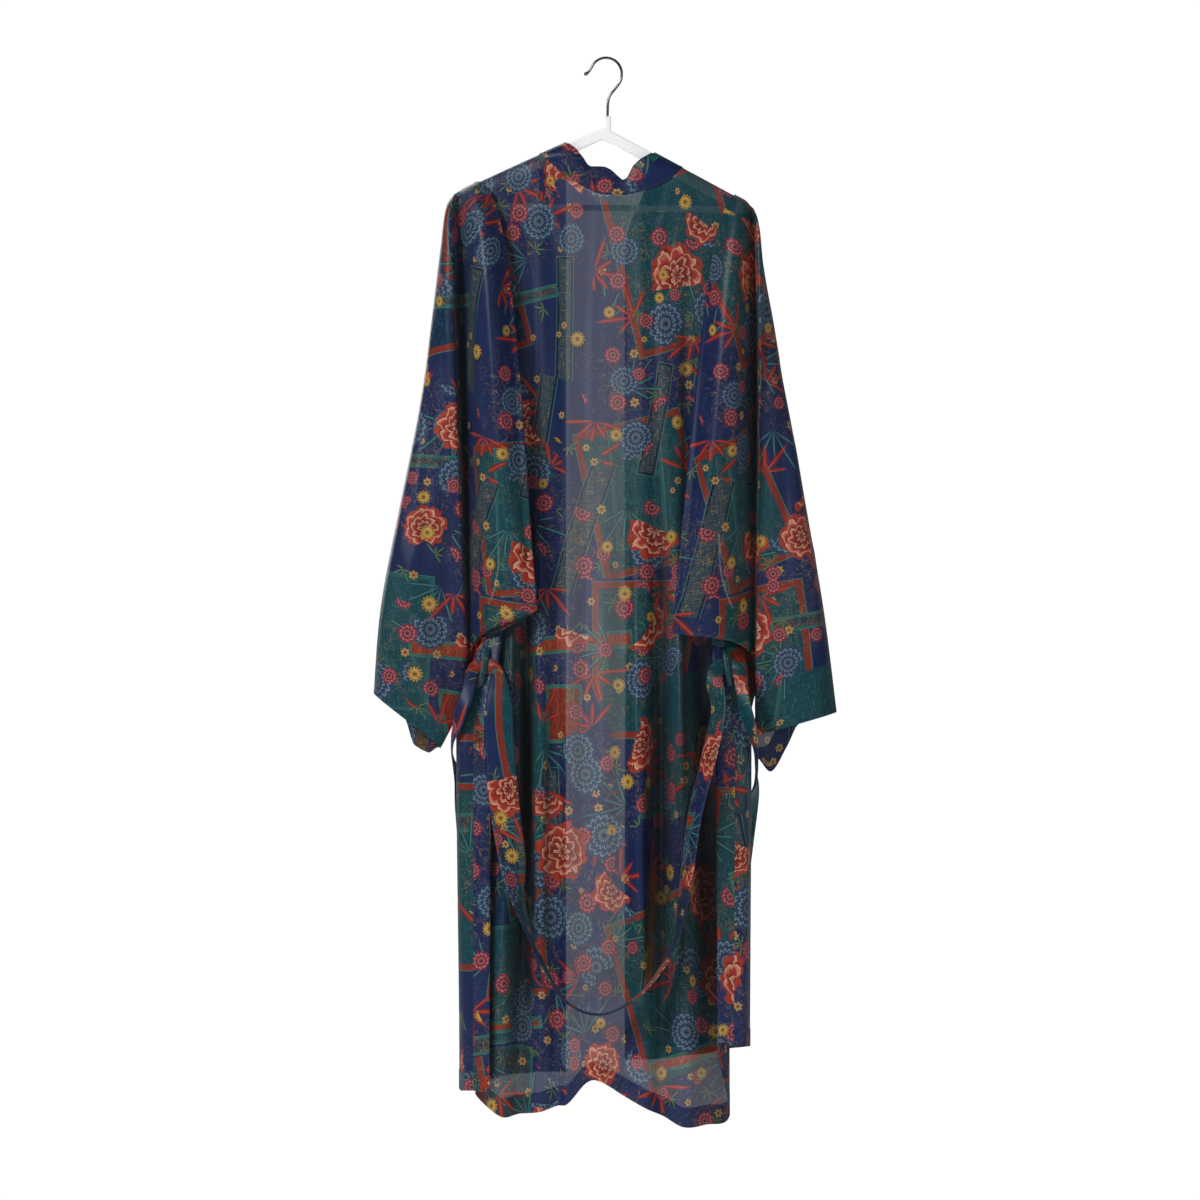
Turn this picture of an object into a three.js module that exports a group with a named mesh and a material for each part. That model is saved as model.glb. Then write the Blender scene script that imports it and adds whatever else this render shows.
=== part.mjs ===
// A long kimono robe of thin printed cloth, hanging on a hanger with a wire hook, with its own tie belt.
// Millimetres, +Z up. The origin is the inside top of the hook, where a rod carries it.
// The robe's back faces -Y, its open front faces +Y, and the hanger lies in the plane y = 0.
import * as THREE from 'three';

// ---- Driving sizes ----
const CLOTH = 1.2; // one layer of cloth
const DOUBLE = 2; // the doubled cloth of the band and the belt
const LAP = CLOTH + 0.9; // how far a piece that laps another stands off it, middle to middle
const SHOULDER_LEFT = { atCentre: -82.8, slope: 0.456 }; // height of the shoulder line at x = 0, and its fall
const SHOULDER_RIGHT = { atCentre: -85.8, slope: -0.539 };
const ROLL = 3.6; // how soon the cloth leaves the shoulder ridge as it falls
const RIDGE_OUT = 15; // how far the sleeve head stands out from the hanger plane
const RIDGE_GAP = 0.45; // half the gap at the shoulder seam
const EDGE_OUT = 14; // how far the panels' neck and armhole edges stand out from the hanger plane
const UNDERARM = -745; // height where the side seam starts
const ARMHOLE = -650; // height from which the armhole is fully open
const INWARD = { left: 1, right: -1 }; // the way from each side to the middle, along X
const SIDE_GAP = 0.54; // gap at the side seam, middle to middle
const HOOK = { radius: 20, wire: 3.4 };
const HANGER_THICK = 7;

const COLOURS = {
  cloth: { color: 0x1f3560, roughness: 0.5, metalness: 0, side: THREE.DoubleSide },
  band: { color: 0x12696a, roughness: 0.5, metalness: 0 },
  plastic: { color: 0xf2f4f5, roughness: 0.25, metalness: 0 },
  chrome: { color: 0xc9ccd0, roughness: 0.15, metalness: 1 },
};

// ---- Numbers along a line ----
const mix = (a, b, t) => a + (b - a) * t;
const clamp01 = (t) => Math.min(1, Math.max(0, t));
const ease = (t) => clamp01(t) ** 2 * (3 - 2 * clamp01(t));

// A smooth curve through values given at falling or rising levels, level outside them.
function through(levels, values, at) {
  const rising = levels[1] > levels[0] ? 1 : -1;
  const last = levels.length - 1;
  if ((at - levels[0]) * rising <= 0) return values[0];
  if ((at - levels[last]) * rising >= 0) return values[last];
  let k = 0;
  while ((at - levels[k + 1]) * rising > 0) k += 1;
  const grade = (i) => {
    if (i === 0 || i === last) return 0;
    const before = (values[i] - values[i - 1]) / (levels[i] - levels[i - 1]);
    const after = (values[i + 1] - values[i]) / (levels[i + 1] - levels[i]);
    return before * after <= 0 ? 0 : (2 * before * after) / (before + after);
  };
  const span = levels[k + 1] - levels[k];
  const t = (at - levels[k]) / span;
  const rise = 3 * t ** 2 - 2 * t ** 3;
  const leaving = t ** 3 - 2 * t ** 2 + t;
  const arriving = t ** 3 - t ** 2;
  return mix(values[k], values[k + 1], rise) + span * (leaving * grade(k) + arriving * grade(k + 1));
}

// The value at place u along a list, smooth through its whole places.
function between(list, u) {
  const last = list.length - 1;
  const k = Math.min(last - 1, Math.max(0, Math.floor(u)));
  const t = u - k;
  const [a, b, c, d] = [k - 1, k, k + 1, k + 2].map((i) => list[Math.min(last, Math.max(0, i))]);
  return 0.5 * (2 * b + (c - a) * t + (2 * a - 5 * b + 4 * c - d) * t * t + (3 * b - a - 3 * c + d) * t ** 3);
}

// ---- Cloth walls ----
// Turns a grid of points on the middle of the cloth into one closed wall. A ring closes on itself across.
function wall(grid, thick, ring = false) {
  const rows = grid.length;
  const cols = grid[0].length;
  const within = (k, count) => Math.min(count - 1, Math.max(0, k));
  const at = (i, j) => grid[within(i, rows)][ring ? (j + cols) % cols : within(j, cols)];
  const faces = [];
  const points = [];
  for (const side of [1, -1]) {
    for (let i = 0; i < rows; i += 1) {
      for (let j = 0; j < cols; j += 1) {
        const down = at(i + 1, j).clone().sub(at(i - 1, j));
        const along = at(i, j + 1).clone().sub(at(i, j - 1));
        const normal = down.cross(along).normalize();
        points.push(at(i, j).clone().addScaledVector(normal, (side * thick) / 2));
      }
    }
  }
  const outer = (i, j) => i * cols + (j % cols);
  const inner = (i, j) => rows * cols + outer(i, j);
  const quad = (a, b, c, d) => faces.push(a, b, c, a, c, d);
  const spans = ring ? cols : cols - 1;
  for (let i = 0; i < rows - 1; i += 1) {
    for (let j = 0; j < spans; j += 1) {
      quad(outer(i, j), outer(i + 1, j), outer(i + 1, j + 1), outer(i, j + 1));
      quad(inner(i, j), inner(i, j + 1), inner(i + 1, j + 1), inner(i + 1, j));
    }
  }
  for (let j = 0; j < spans; j += 1) {
    quad(outer(0, j), outer(0, j + 1), inner(0, j + 1), inner(0, j));
    quad(outer(rows - 1, j + 1), outer(rows - 1, j), inner(rows - 1, j), inner(rows - 1, j + 1));
  }
  for (let i = 0; i < rows - 1 && !ring; i += 1) {
    quad(outer(i + 1, 0), outer(i, 0), inner(i, 0), inner(i + 1, 0));
    quad(outer(i, cols - 1), outer(i + 1, cols - 1), inner(i + 1, cols - 1), inner(i, cols - 1));
  }
  return solid(points, faces);
}

function solid(points, faces) {
  const geometry = new THREE.BufferGeometry();
  const places = points.flatMap((p) => [p.x, p.y, p.z]);
  geometry.setAttribute('position', new THREE.Float32BufferAttribute(places, 3));
  geometry.setIndex(volume(points, faces) < 0 ? faces.toReversed() : faces);
  geometry.computeVertexNormals();
  return geometry;
}

function volume(points, faces) {
  let total = 0;
  for (let k = 0; k < faces.length; k += 3) {
    const [a, b, c] = [faces[k], faces[k + 1], faces[k + 2]].map((i) => points[i]);
    total += a.dot(b.clone().cross(c)) / 6;
  }
  return total;
}

// ---- Shoulder and neck ----
const shoulderZ = (x) => {
  const line = x < 0 ? SHOULDER_LEFT : SHOULDER_RIGHT;
  return line.atCentre + line.slope * x;
};
const roll = (drop) => 1 - Math.exp(-Math.max(0, drop) / ROLL);

// The seam of the band at the back neck.
const NECK_X = [-85.5, -73.7, -49.5, -20, -4, 18, 46, 63.5, 84, 98.5];
const NECK_Z = [-121.6, -130.5, -149, -168, -173.4, -174.6, -169.5, -164.5, -153, -138.6];
const neckZ = (x) => through(NECK_X, NECK_Z, x);
const topZ = (x) => (x > NECK_X[0] && x < NECK_X.at(-1) ? neckZ(x) : shoulderZ(x));

// ---- Folds of the body ----
// Each row is a line of the cloth from top to hem, on the crest or in the bottom of a fold. x is its place at
// the X_LEVELS, out is how far it stands toward the back at the OUT_LEVELS, and hem is the height it ends at.
const X_LEVELS = [-160, -330, -640, -880, -1310];
const OUT_LEVELS = [-330, -640, -880, -1100, -1310];

const BACK_FOLDS = [
  { line: 'left side seam', x: [-168, -136, -136, -168, -168], out: [12, 13, 44, 45, 42], hem: -1310 },
  { line: 'left flap edge', x: [-160, -131, -128, -144, -147], out: [12, 14, 50, 50, 46], hem: -1311 },
  { line: 'left pocket', x: [-152, -127, -124, -150, -166], out: [12, 13, 14, 14, 14], hem: -1317 },
  { line: 'left back edge', x: [-143, -120, -117, -122, -134], out: [13, 14, 46, 48, 40], hem: -1343 },
  { line: 'left valley', x: [-112, -98, -101, -101, -110], out: [12, 9, 6, 10, 24], hem: -1341 },
  { line: 'left crest', x: [-85.5, -80, -86, -86, -84], out: [14, 22, 44, 42, 44], hem: -1337 },
  { line: 'left soft valley', x: [-70, -60, -62, -62, -62], out: [12, 16, 33, 34, 34], hem: -1330 },
  { line: 'left soft crest', x: [-45, -44, -45, -46, -48], out: [14, 21, 42, 44, 46], hem: -1326 },
  { line: 'centre valley', x: [-20, -20, -24, -26, -24], out: [12, 16, 36, 38, 40], hem: -1300 },
  { line: 'centre crest', x: [0, 0, -4, -5, -6], out: [13, 20, 42, 46, 46], hem: -1299 },
  { line: 'right soft valley', x: [24, 24, 24, 22, 24], out: [12, 15, 35, 38, 38], hem: -1318 },
  { line: 'right soft crest', x: [48, 46, 42, 44, 50], out: [14, 20, 44, 48, 48], hem: -1332 },
  { line: 'right valley', x: [72, 66, 70, 70, 72], out: [12, 12, 8, 14, 30], hem: -1343 },
  { line: 'right crest', x: [98.5, 90, 91, 96, 98], out: [14, 18, 46, 48, 46], hem: -1356 },
  { line: 'right second valley', x: [120, 112, 113, 122, 126], out: [12, 11, 8, 12, 24], hem: -1355 },
  { line: 'right pocket', x: [140, 126, 126, 150, 157], out: [12, 12, 14, 16, 20], hem: -1343 },
  { line: 'right flap edge', x: [150, 134, 132, 138, 141], out: [12, 14, 48, 49, 46], hem: -1256 },
  { line: 'right side seam', x: [167, 142, 140, 163, 162], out: [12, 13, 44, 45, 42], hem: -1254 },
];

// The fronts flare quickly under the sleeves, so their places are given at more levels.
const FRONT_X_LEVELS = [-160, -330, -640, -745, -790, -860, -1310];

const LEFT_FRONT_FOLDS = [
  { line: 'flap', x: [-164, -132, -136, -161, -172, -180, -178], out: [-14, -14, 45, 45, 42], hem: -1310 },
  { line: 'near bend', x: [-156, -127, -134, -163, -174, -188, -184], out: [-15, -16, 32, 32, 28], hem: -1311 },
  { line: 'far bend', x: [-147, -122, -129, -159, -167, -190, -186], out: [-15, -18, 8, 8, 5], hem: -1308 },
  { line: 'crest', x: [-137, -116, -121, -148, -158, -181, -175], out: [-14, -20, -14, -15, -16], hem: -1305 },
  { line: 'fold', x: [-126, -111, -124, -176, -181, -176, -159], out: [-15, -22, -28, -30, -34], hem: -1302 },
  { line: 'valley', x: [-115, -105, -108, -123, -130, -144, -142], out: [-14, -16, -14, -16, -18], hem: -1300 },
  { line: 'in fold', x: [-105, -100, -102, -109, -112, -119, -120], out: [-15, -22, -28, -30, -34], hem: -1296 },
  { line: 'near band', x: [-95, -94, -95, -98, -99, -102, -103], out: [-14, -16, -18, -20, -22], hem: -1294 },
  { line: 'band seam', x: [-85.6, -89, -89, -89, -89, -89, -89], out: [-14, -18, -20, -22, -24], hem: -1292 },
];

const RIGHT_FRONT_FOLDS = [
  { line: 'flap', x: [162, 138, 144, 170, 175, 175, 173], out: [-14, -14, 45, 45, 42], hem: -1254 },
  { line: 'near bend', x: [155, 132, 142, 174, 181, 182, 180], out: [-15, -16, 32, 32, 30], hem: -1255 },
  { line: 'far bend', x: [148, 125, 136, 171, 180, 185, 183], out: [-15, -18, 6, 6, 5], hem: -1257 },
  { line: 'crest', x: [140, 118, 129, 156, 166, 177, 174], out: [-14, -20, -16, -16, -16], hem: -1260 },
  { line: 'fold', x: [131, 108, 122, 189, 192, 177, 152], out: [-15, -22, -28, -30, -34], hem: -1264 },
  { line: 'valley', x: [122, 97, 100, 112, 118, 129, 128], out: [-14, -16, -14, -16, -18], hem: -1268 },
  { line: 'in fold', x: [114, 86, 88, 95, 98, 104, 104], out: [-15, -22, -28, -30, -34], hem: -1272 },
  { line: 'near band', x: [106, 76, 74, 77, 79, 82, 82], out: [-14, -16, -18, -20, -22], hem: -1274 },
  { line: 'band seam', x: [98.4, 66, 62, 62, 62, 62, 62], out: [-14, -18, -20, -22, -24], hem: -1276 },
];
const FRONT_FOLDS = { left: LEFT_FRONT_FOLDS, right: RIGHT_FRONT_FOLDS };

// A point of the cloth at place u across the lines and at height z.
function draped(folds, u, z) {
  const x = between(folds.map((fold) => through(X_LEVELS, fold.x, z)), u);
  const out = between(folds.map((fold) => through(OUT_LEVELS, fold.out, z)), u);
  return new THREE.Vector3(x, -out * roll(shoulderZ(x) - z) - RIDGE_GAP, z);
}

const backPoint = (u, z) => draped(BACK_FOLDS, u, z);

// The front starts on the side seam below the underarm, and leaves it for the armhole above.
function frontPoint(side, u, z) {
  const folds = FRONT_FOLDS[side];
  const seamU = side === 'left' ? 0 : BACK_FOLDS.length - 1;
  const seam = backPoint(seamU, z);
  const open = ease((z - UNDERARM) / (ARMHOLE - UNDERARM));
  const armhole = -EDGE_OUT * roll(shoulderZ(seam.x) - z) - RIDGE_GAP;
  const edge = { x: seam.x - INWARD[side] * SIDE_GAP * (1 - open), out: mix(-seam.y, armhole, open) };
  const xs = [edge.x, ...folds.map((fold) => through(FRONT_X_LEVELS, fold.x, z))];
  const rolled = roll(shoulderZ(between(xs, u)) - z);
  const outs = [edge.out, ...folds.map((fold) => through(OUT_LEVELS, fold.out, z) * rolled - RIDGE_GAP)];
  return new THREE.Vector3(between(xs, u), -between(outs, u), z);
}

// Heights down a panel, close together over the shoulder ridge.
const DROPS = [0, 0.0016, 0.005, 0.011, 0.024, 0.05];
const PANEL_ROWS = 16;
const EVEN_FROM = 0.09; // share of the height from which the rows are evenly spaced
const evenRows = Array.from({ length: PANEL_ROWS }, (_, i) => mix(EVEN_FROM, 1, i / (PANEL_ROWS - 1)));
const downPanel = [...DROPS, ...evenRows];
const BACK_STEPS = 3; // steps across between two fold lines
const FRONT_STEPS = 2;

function panel(point, lines, steps, hems) {
  const cols = (lines - 1) * steps + 1;
  const places = Array.from({ length: cols }, (_, j) => j / steps);
  return downPanel.map((v) => places.map((u) => {
    const top = topZ(point(u, X_LEVELS[0]).x);
    return point(u, mix(top, between(hems, u), v));
  }));
}

const backGrid = () => panel(backPoint, BACK_FOLDS.length, BACK_STEPS, BACK_FOLDS.map((fold) => fold.hem));
function frontGrid(side) {
  const hems = FRONT_FOLDS[side].map((fold) => fold.hem);
  return panel((u, z) => frontPoint(side, u, z), hems.length + 1, FRONT_STEPS, [hems[0], ...hems]);
}

// ---- Sleeves ----
// Each row is one way round the sleeve. It starts at the top on the outer edge, falls down the back of the
// sleeve to the low point, turns under and climbs the front again. The first five rows are the pleat that
// lies over the body. bow moves the fall along X, back and front are how far the walls swell, and lowOut is
// how far the low point stands to the back.
const SLEEVES = {
  left: [
    { at: 'pleat edge', top: [-165, -156], low: [-89, -704], lowOut: 58, bow: 26, back: 12, front: 12 },
    { at: 'pleat face', top: [-169, -158], low: [-107, -705], lowOut: 63, bow: 20, back: 30, front: 13 },
    { at: 'pleat crest', top: [-175, -161], low: [-127, -707], lowOut: 60, bow: 12, back: 40, front: 14 },
    { at: 'valley side', top: [-181, -164], low: [-152, -720], lowOut: 42, bow: 4, back: 26, front: 15 },
    { at: 'valley', top: [-187, -168], low: [-173, -756], lowOut: 8, bow: 0, back: 3, front: 16 },
    { at: 'arm crest', top: [-195, -174], low: [-176, -780], lowOut: 9, bow: -3, back: 36, front: 18 },
    { at: 'arm 1', top: [-204, -192], low: [-179, -802], lowOut: 9, bow: -3, back: 38, front: 22 },
    { at: 'arm 2', top: [-212, -257], low: [-184, -820], lowOut: 9, bow: -2, back: 32, front: 26 },
    { at: 'arm 3', top: [-223, -340], low: [-190, -836], lowOut: 9, bow: 0, back: 27, front: 26 },
    { at: 'arm 4', top: [-239, -450], low: [-197, -851], lowOut: 9, bow: 0, back: 25, front: 24 },
    { at: 'arm 5', top: [-264, -575], low: [-203, -862], lowOut: 9, bow: 0, back: 26, front: 22 },
    { at: 'arm 6', top: [-287, -698], low: [-207, -869], lowOut: 9, bow: 0, back: 22, front: 20 },
    { at: 'cuff', top: [-296, -808], low: [-211, -875], lowOut: 8, bow: 0, back: 18, front: 18 },
  ],
  right: [
    { at: 'pleat edge', top: [166, -173.2], low: [85, -731], lowOut: 58, bow: -20, back: 12, front: 12 },
    { at: 'pleat face', top: [169, -174.8], low: [105, -734], lowOut: 63, bow: -14, back: 30, front: 13 },
    { at: 'pleat crest', top: [173, -177], low: [130, -737], lowOut: 60, bow: -6, back: 40, front: 14 },
    { at: 'valley side', top: [178, -180], low: [160, -742], lowOut: 42, bow: 2, back: 26, front: 15 },
    { at: 'valley', top: [183, -186], low: [187, -760], lowOut: 8, bow: 6, back: 3, front: 16 },
    { at: 'arm crest', top: [188, -192], low: [190, -790], lowOut: 9, bow: 5, back: 36, front: 18 },
    { at: 'arm 1', top: [193, -208], low: [190, -815], lowOut: 9, bow: 4, back: 38, front: 22 },
    { at: 'arm 2', top: [199, -262], low: [190, -828], lowOut: 9, bow: 2, back: 32, front: 26 },
    { at: 'arm 3', top: [214, -345], low: [190, -838], lowOut: 9, bow: 0, back: 27, front: 26 },
    { at: 'arm 4', top: [234, -452], low: [190, -846], lowOut: 9, bow: 0, back: 25, front: 24 },
    { at: 'arm 5', top: [255, -570], low: [190, -853], lowOut: 9, bow: 0, back: 26, front: 22 },
    { at: 'arm 6', top: [278, -705], low: [190, -858], lowOut: 9, bow: 0, back: 22, front: 20 },
    { at: 'cuff', top: [294, -832], low: [190, -862], lowOut: 8, bow: 0, back: 18, front: 18 },
  ],
};
const LOW_STAND = 2.5; // how much further the armhole row stands off at its low end
const LAP_LOW = UNDERARM + 8; // height of its low end
const LAP_BACK = 0.25; // how far it lies in from the back's side edge, in fold lines
const LAP_FRONT = { top: 0.2, low: 2.6 }; // and in from the front's edge
const FRONT_LOW = 7; // how far the front of a sleeve stands out at its low point
const SIDE_STAND = 14; // how far the armhole row passes outside the top of the side seam
const PLEAT_ROWS = 5; // rows of a sleeve that belong to its pleat and valley
// How much lower the front of the cuff hangs than its back, from the outer corner to the inner one.
const CUFF_DROP = { share: [0, 0.45, 0.6, 0.8, 1], left: [0, 2, 26, 22, 3], right: [0, 2, 26, 52, 28] };
// Shares of the way down a sleeve row, close together where it leaves the top.
const FALL = [0, 0.004, 0.012, 0.028, 0.06, 0.13, 0.24, 0.38, 0.53, 0.68, 0.8, 0.89, 0.95, 1];
const UNDER_STEPS = 5;
const UNDER_SIDE = { x: 178, out: 50, z: -736 }; // where the turn under the pleat passes the body's side
const swell = (t) => Math.sin(Math.PI * t ** 0.6) ** 0.7;
const bowed = (t) => Math.sin(Math.PI * t ** 0.45);

function sleeveRow(rows, u) {
  const read = (pick) => between(rows.map(pick), u);
  return {
    topX: read((r) => r.top[0]),
    topZ: read((r) => r.top[1]),
    lowX: read((r) => r.low[0]),
    lowZ: read((r) => r.low[1]),
    lowOut: read((r) => r.lowOut),
    bow: read((r) => r.bow),
    back: read((r) => r.back),
    front: read((r) => r.front),
  };
}

// How far a point of a row lies below the ridge of the shoulder. The pleat's rows lean in under it.
function dropOf(row, x, z, pleat) {
  const rise = Math.max(0, shoulderZ(x) - shoulderZ(row.topX));
  return row.topZ - z + rise * pleat;
}

// The front fall of a sleeve row, from its low point up to the top.
function frontFall(side, row, armShare) {
  return FALL.toReversed().map((t) => {
    const drop = armShare ** 2 * through(CUFF_DROP.share, CUFF_DROP[side], t);
    const z = mix(row.topZ, row.lowZ, t) - drop;
    const x = mix(row.topX, row.lowX, t) + row.bow * bowed(t) * 0.4;
    const depth = mix(RIDGE_OUT, FRONT_LOW, t) + row.front * swell(t);
    return new THREE.Vector3(x, roll(row.topZ - z) * depth, z);
  });
}

function backFall(row, pleat) {
  return FALL.map((t) => {
    const z = mix(row.topZ, row.lowZ, t);
    const x = mix(row.topX, row.lowX, t) + row.bow * bowed(t);
    const out = mix(RIDGE_OUT, row.lowOut, t) + row.back * swell(t);
    return new THREE.Vector3(x, -roll(dropOf(row, x, z, pleat)) * out, z);
  });
}

// Joins the back fall to the front fall by a turn under the arm, and leaves out the shared top point.
function closeRow(back, front, turn) {
  const [from, to] = [back.at(-1), front[0]];
  const under = Array.from({ length: UNDER_STEPS - 1 }, (_, i) => {
    const t = (i + 1) / UNDER_STEPS;
    return from.clone().lerp(turn, t).lerp(turn.clone().lerp(to, t), t);
  });
  return [...back, ...under, ...front.slice(0, -1)];
}

// The first way round lies on the body's two panels, beside the armhole edge.
function armholeRow(side) {
  const backEdge = side === 'left' ? LAP_BACK : BACK_FOLDS.length - 1 - LAP_BACK;
  const lapped = (point, facing, z, t) => {
    const down = point(z - 1).sub(point(z + 1));
    const across = point(z, 0.1).sub(point(z, -0.1));
    const normal = down.cross(across).normalize();
    if (normal.y * facing < 0) normal.negate();
    return point(z).addScaledVector(normal, LAP + LOW_STAND * t ** 3);
  };
  const ridge = shoulderZ(backPoint(backEdge, X_LEVELS[0]).x);
  const onEdge = (facing, pointAt) => FALL.map((t) => (
    lapped((z, shift = 0) => pointAt(t, shift, z), facing, mix(ridge, LAP_LOW, t), t)));
  const back = onEdge(-1, (t, shift, z) => backPoint(backEdge + shift, z));
  const frontEdge = (t) => mix(LAP_FRONT.top, LAP_FRONT.low, t ** 4);
  const front = onEdge(1, (t, shift, z) => frontPoint(side, frontEdge(t) + shift, z)).toReversed();
  back[0].setY(0).setZ(ridge + LAP);
  return { back, front };
}

function sleeveGrid(side) {
  const rows = SLEEVES[side];
  const outward = -INWARD[side];
  const armhole = armholeRow(side);
  const valleyFront = frontFall(side, sleeveRow(rows, PLEAT_ROWS - 1), 0);
  const beside = armhole.back.at(-1).clone().lerp(armhole.front[0], 0.5);
  const grid = [closeRow(armhole.back, armhole.front, beside.setX(beside.x + outward * SIDE_STAND))];
  const pleatPlaces = Array.from({ length: PLEAT_ROWS * 2 }, (_, i) => i / 2);
  const places = [...pleatPlaces, ...rows.keys().filter((k) => k >= PLEAT_ROWS)];
  for (const u of places) {
    const row = sleeveRow(rows, u);
    const pleat = clamp01(PLEAT_ROWS - u);
    const armShare = clamp01((u - PLEAT_ROWS) / (rows.length - 1 - PLEAT_ROWS));
    const share = Math.min(1, (u + 1) / PLEAT_ROWS);
    const front = share === 1 ? frontFall(side, row, armShare)
      : armhole.front.map((p, i) => p.clone().lerp(valleyFront[i], share));
    const back = backFall(row, pleat);
    const underSide = new THREE.Vector3(outward * UNDER_SIDE.x, -UNDER_SIDE.out, UNDER_SIDE.z);
    const turn = back.at(-1).clone().lerp(front[0], 0.5).lerp(underSide, 1 - share);
    grid.push(closeRow(back, front, turn));
  }
  return grid;
}

// ---- Collar band ----
// One doubled strip from the left front hem, round the back neck and down to the right front hem.
const BAND_GAP = 0.75; // clear of the panel's edge that it is sewn to
const BAND_BULGE = 4; // how far the middle of the band stands out at the back neck
const BULGE_END = 0.125; // share of the neck over which the bulge comes and goes
const BAND_COLUMNS = 3;
// Shares of the front's height by which the free edge has reached its place across and forward.
const BAND_SETTLE = { across: 0.11, forward: 0.33 };
const BAND_FORWARD = 8; // how much further forward its free edge hangs below the chest
const RIDGE_LIFT = 0.2; // how far its seam edge rides above the shoulder line at the ridge
// The row just behind the ridge falls by down, and its seam edge moves in and up.
const RIDGE_STEP = { down: 2.2, inward: 2.3, up: 0.9 };
const BAND_FREE = { left: { ridge: [-50.8, -106], x: -51 }, right: { ridge: [61, -118.7], x: 24 } };
// The free edge round the back neck, with the dip where the band has folded over.
const NECK_FREE = {
  share: [0, 0.1, 0.2, 0.29, 0.4, 0.5, 0.57, 0.64, 0.7, 0.77, 0.87, 1],
  x: [-50.8, -39.4, -29, -20, -4, 7.6, 15, 23, 30, 34, 43, 61],
  z: [-106, -114, -126.5, -137.5, -138, -143, -150, -155, -146, -138, -129, -118.7],
};

// A row across the band, from the seam edge to the free edge.
function bandRow(seam, free, bulge) {
  return Array.from({ length: BAND_COLUMNS + 1 }, (_, i) => {
    const t = i / BAND_COLUMNS;
    return seam.clone().lerp(free, t).add(new THREE.Vector3(0, -bulge * Math.sin(Math.PI * t), 0));
  });
}

function frontBandRows(side) {
  const free = BAND_FREE[side];
  const lines = FRONT_FOLDS[side].length;
  const hem = FRONT_FOLDS[side].at(-1).hem;
  const inward = INWARD[side] * BAND_GAP;
  return downPanel.slice(1).map((v) => {
    const top = topZ(frontPoint(side, lines, X_LEVELS[0]).x);
    const seam = frontPoint(side, lines, mix(top, hem, v));
    const freeX = mix(free.ridge[0], free.x, ease(v / BAND_SETTLE.across));
    const freeZ = mix(free.ridge[1], hem, v);
    const depth = roll(shoulderZ(freeX) - freeZ) * EDGE_OUT + BAND_FORWARD * ease(v / BAND_SETTLE.forward);
    const edge = new THREE.Vector3(freeX, depth, freeZ);
    return bandRow(seam.setX(seam.x + inward), edge, 0);
  });
}

function ridgeRow(side) {
  const [x, z] = BAND_FREE[side].ridge;
  const seamX = (side === 'left' ? NECK_X[0] : NECK_X.at(-1)) + INWARD[side] * BAND_GAP;
  return bandRow(new THREE.Vector3(seamX, 0, shoulderZ(seamX) + RIDGE_LIFT), new THREE.Vector3(x, 0, z), 0);
}

function neckRows(backTop) {
  const seams = backTop.filter((p) => p.x > NECK_X[0] + 1 && p.x < NECK_X.at(-1) - 1);
  return seams.map((p, i) => {
    const share = (i + 1) / (seams.length + 1);
    const x = through(NECK_FREE.share, NECK_FREE.x, share);
    const z = through(NECK_FREE.share, NECK_FREE.z, share);
    const free = new THREE.Vector3(x, -EDGE_OUT * roll(shoulderZ(x) - z), z);
    const bulge = BAND_BULGE * ease(share / BULGE_END) * ease((1 - share) / BULGE_END);
    return bandRow(p.clone().add(new THREE.Vector3(0, 0, BAND_GAP)), free, bulge);
  });
}

const overRidge = (side) => ridgeRow(side).map((p, i) => {
  const share = 1 - i / BAND_COLUMNS;
  const back = EDGE_OUT * roll(RIDGE_STEP.down);
  const rise = RIDGE_STEP.up * share - RIDGE_STEP.down;
  return p.add(new THREE.Vector3(INWARD[side] * RIDGE_STEP.inward * share, -back, rise));
});
const bandGrid = (backTop) => [
  ...frontBandRows('left').toReversed(), ridgeRow('left'), overRidge('left'), ...neckRows(backTop),
  overRidge('right'), ridgeRow('right'), ...frontBandRows('right'),
];

// ---- Swept pieces ----
// Sweeps a section along stations. Each station has its middle and the two directions of its section.
function sweep(stations, section) {
  const count = section.length;
  const points = stations.flatMap(({ at, wide, deep }) => section.map(([a, b]) => (
    at.clone().addScaledVector(wide, a).addScaledVector(deep, b))));
  const faces = [];
  for (let i = 0; i < stations.length - 1; i += 1) {
    for (let j = 0; j < count; j += 1) {
      const [a, b] = [i * count + j, i * count + ((j + 1) % count)];
      faces.push(a, b, b + count, a, b + count, a + count);
    }
  }
  const last = (stations.length - 1) * count;
  for (let j = 1; j < count - 1; j += 1) {
    faces.push(0, j + 1, j, last, last + j, last + j + 1);
  }
  return solid(points, faces);
}

const OBLONG = [[-0.5, -0.5], [0.5, -0.5], [0.5, 0.5], [-0.5, 0.5]];
const tangentAt = (points, i) => points[Math.min(points.length - 1, i + 1)].clone()
  .sub(points[Math.max(0, i - 1)]).normalize();

// A flat strip. turn is 0 where its face looks to the back and 90 where its edge does.
function strip(rows, thick, steps) {
  const places = Array.from({ length: (rows.length - 1) * steps + 1 }, (_, i) => i / steps);
  const read = (u, pick) => between(rows.map(pick), u);
  const points = places.map((u) => new THREE.Vector3(
    read(u, (r) => r.x), -read(u, (r) => r.out), read(u, (r) => r.z)));
  const back = new THREE.Vector3(0, 1, 0);
  const stations = places.map((u, i) => {
    const along = tangentAt(points, i);
    const flat = along.clone().cross(back).normalize();
    const upright = flat.clone().cross(along);
    const turn = THREE.MathUtils.degToRad(read(u, (r) => r.turn));
    const wide = flat.multiplyScalar(Math.cos(turn)).addScaledVector(upright, Math.sin(turn));
    const deep = along.cross(wide).multiplyScalar(thick);
    return { at: points[i], wide: wide.multiplyScalar(read(u, (r) => r.width)), deep };
  });
  return sweep(stations, OBLONG);
}

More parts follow.
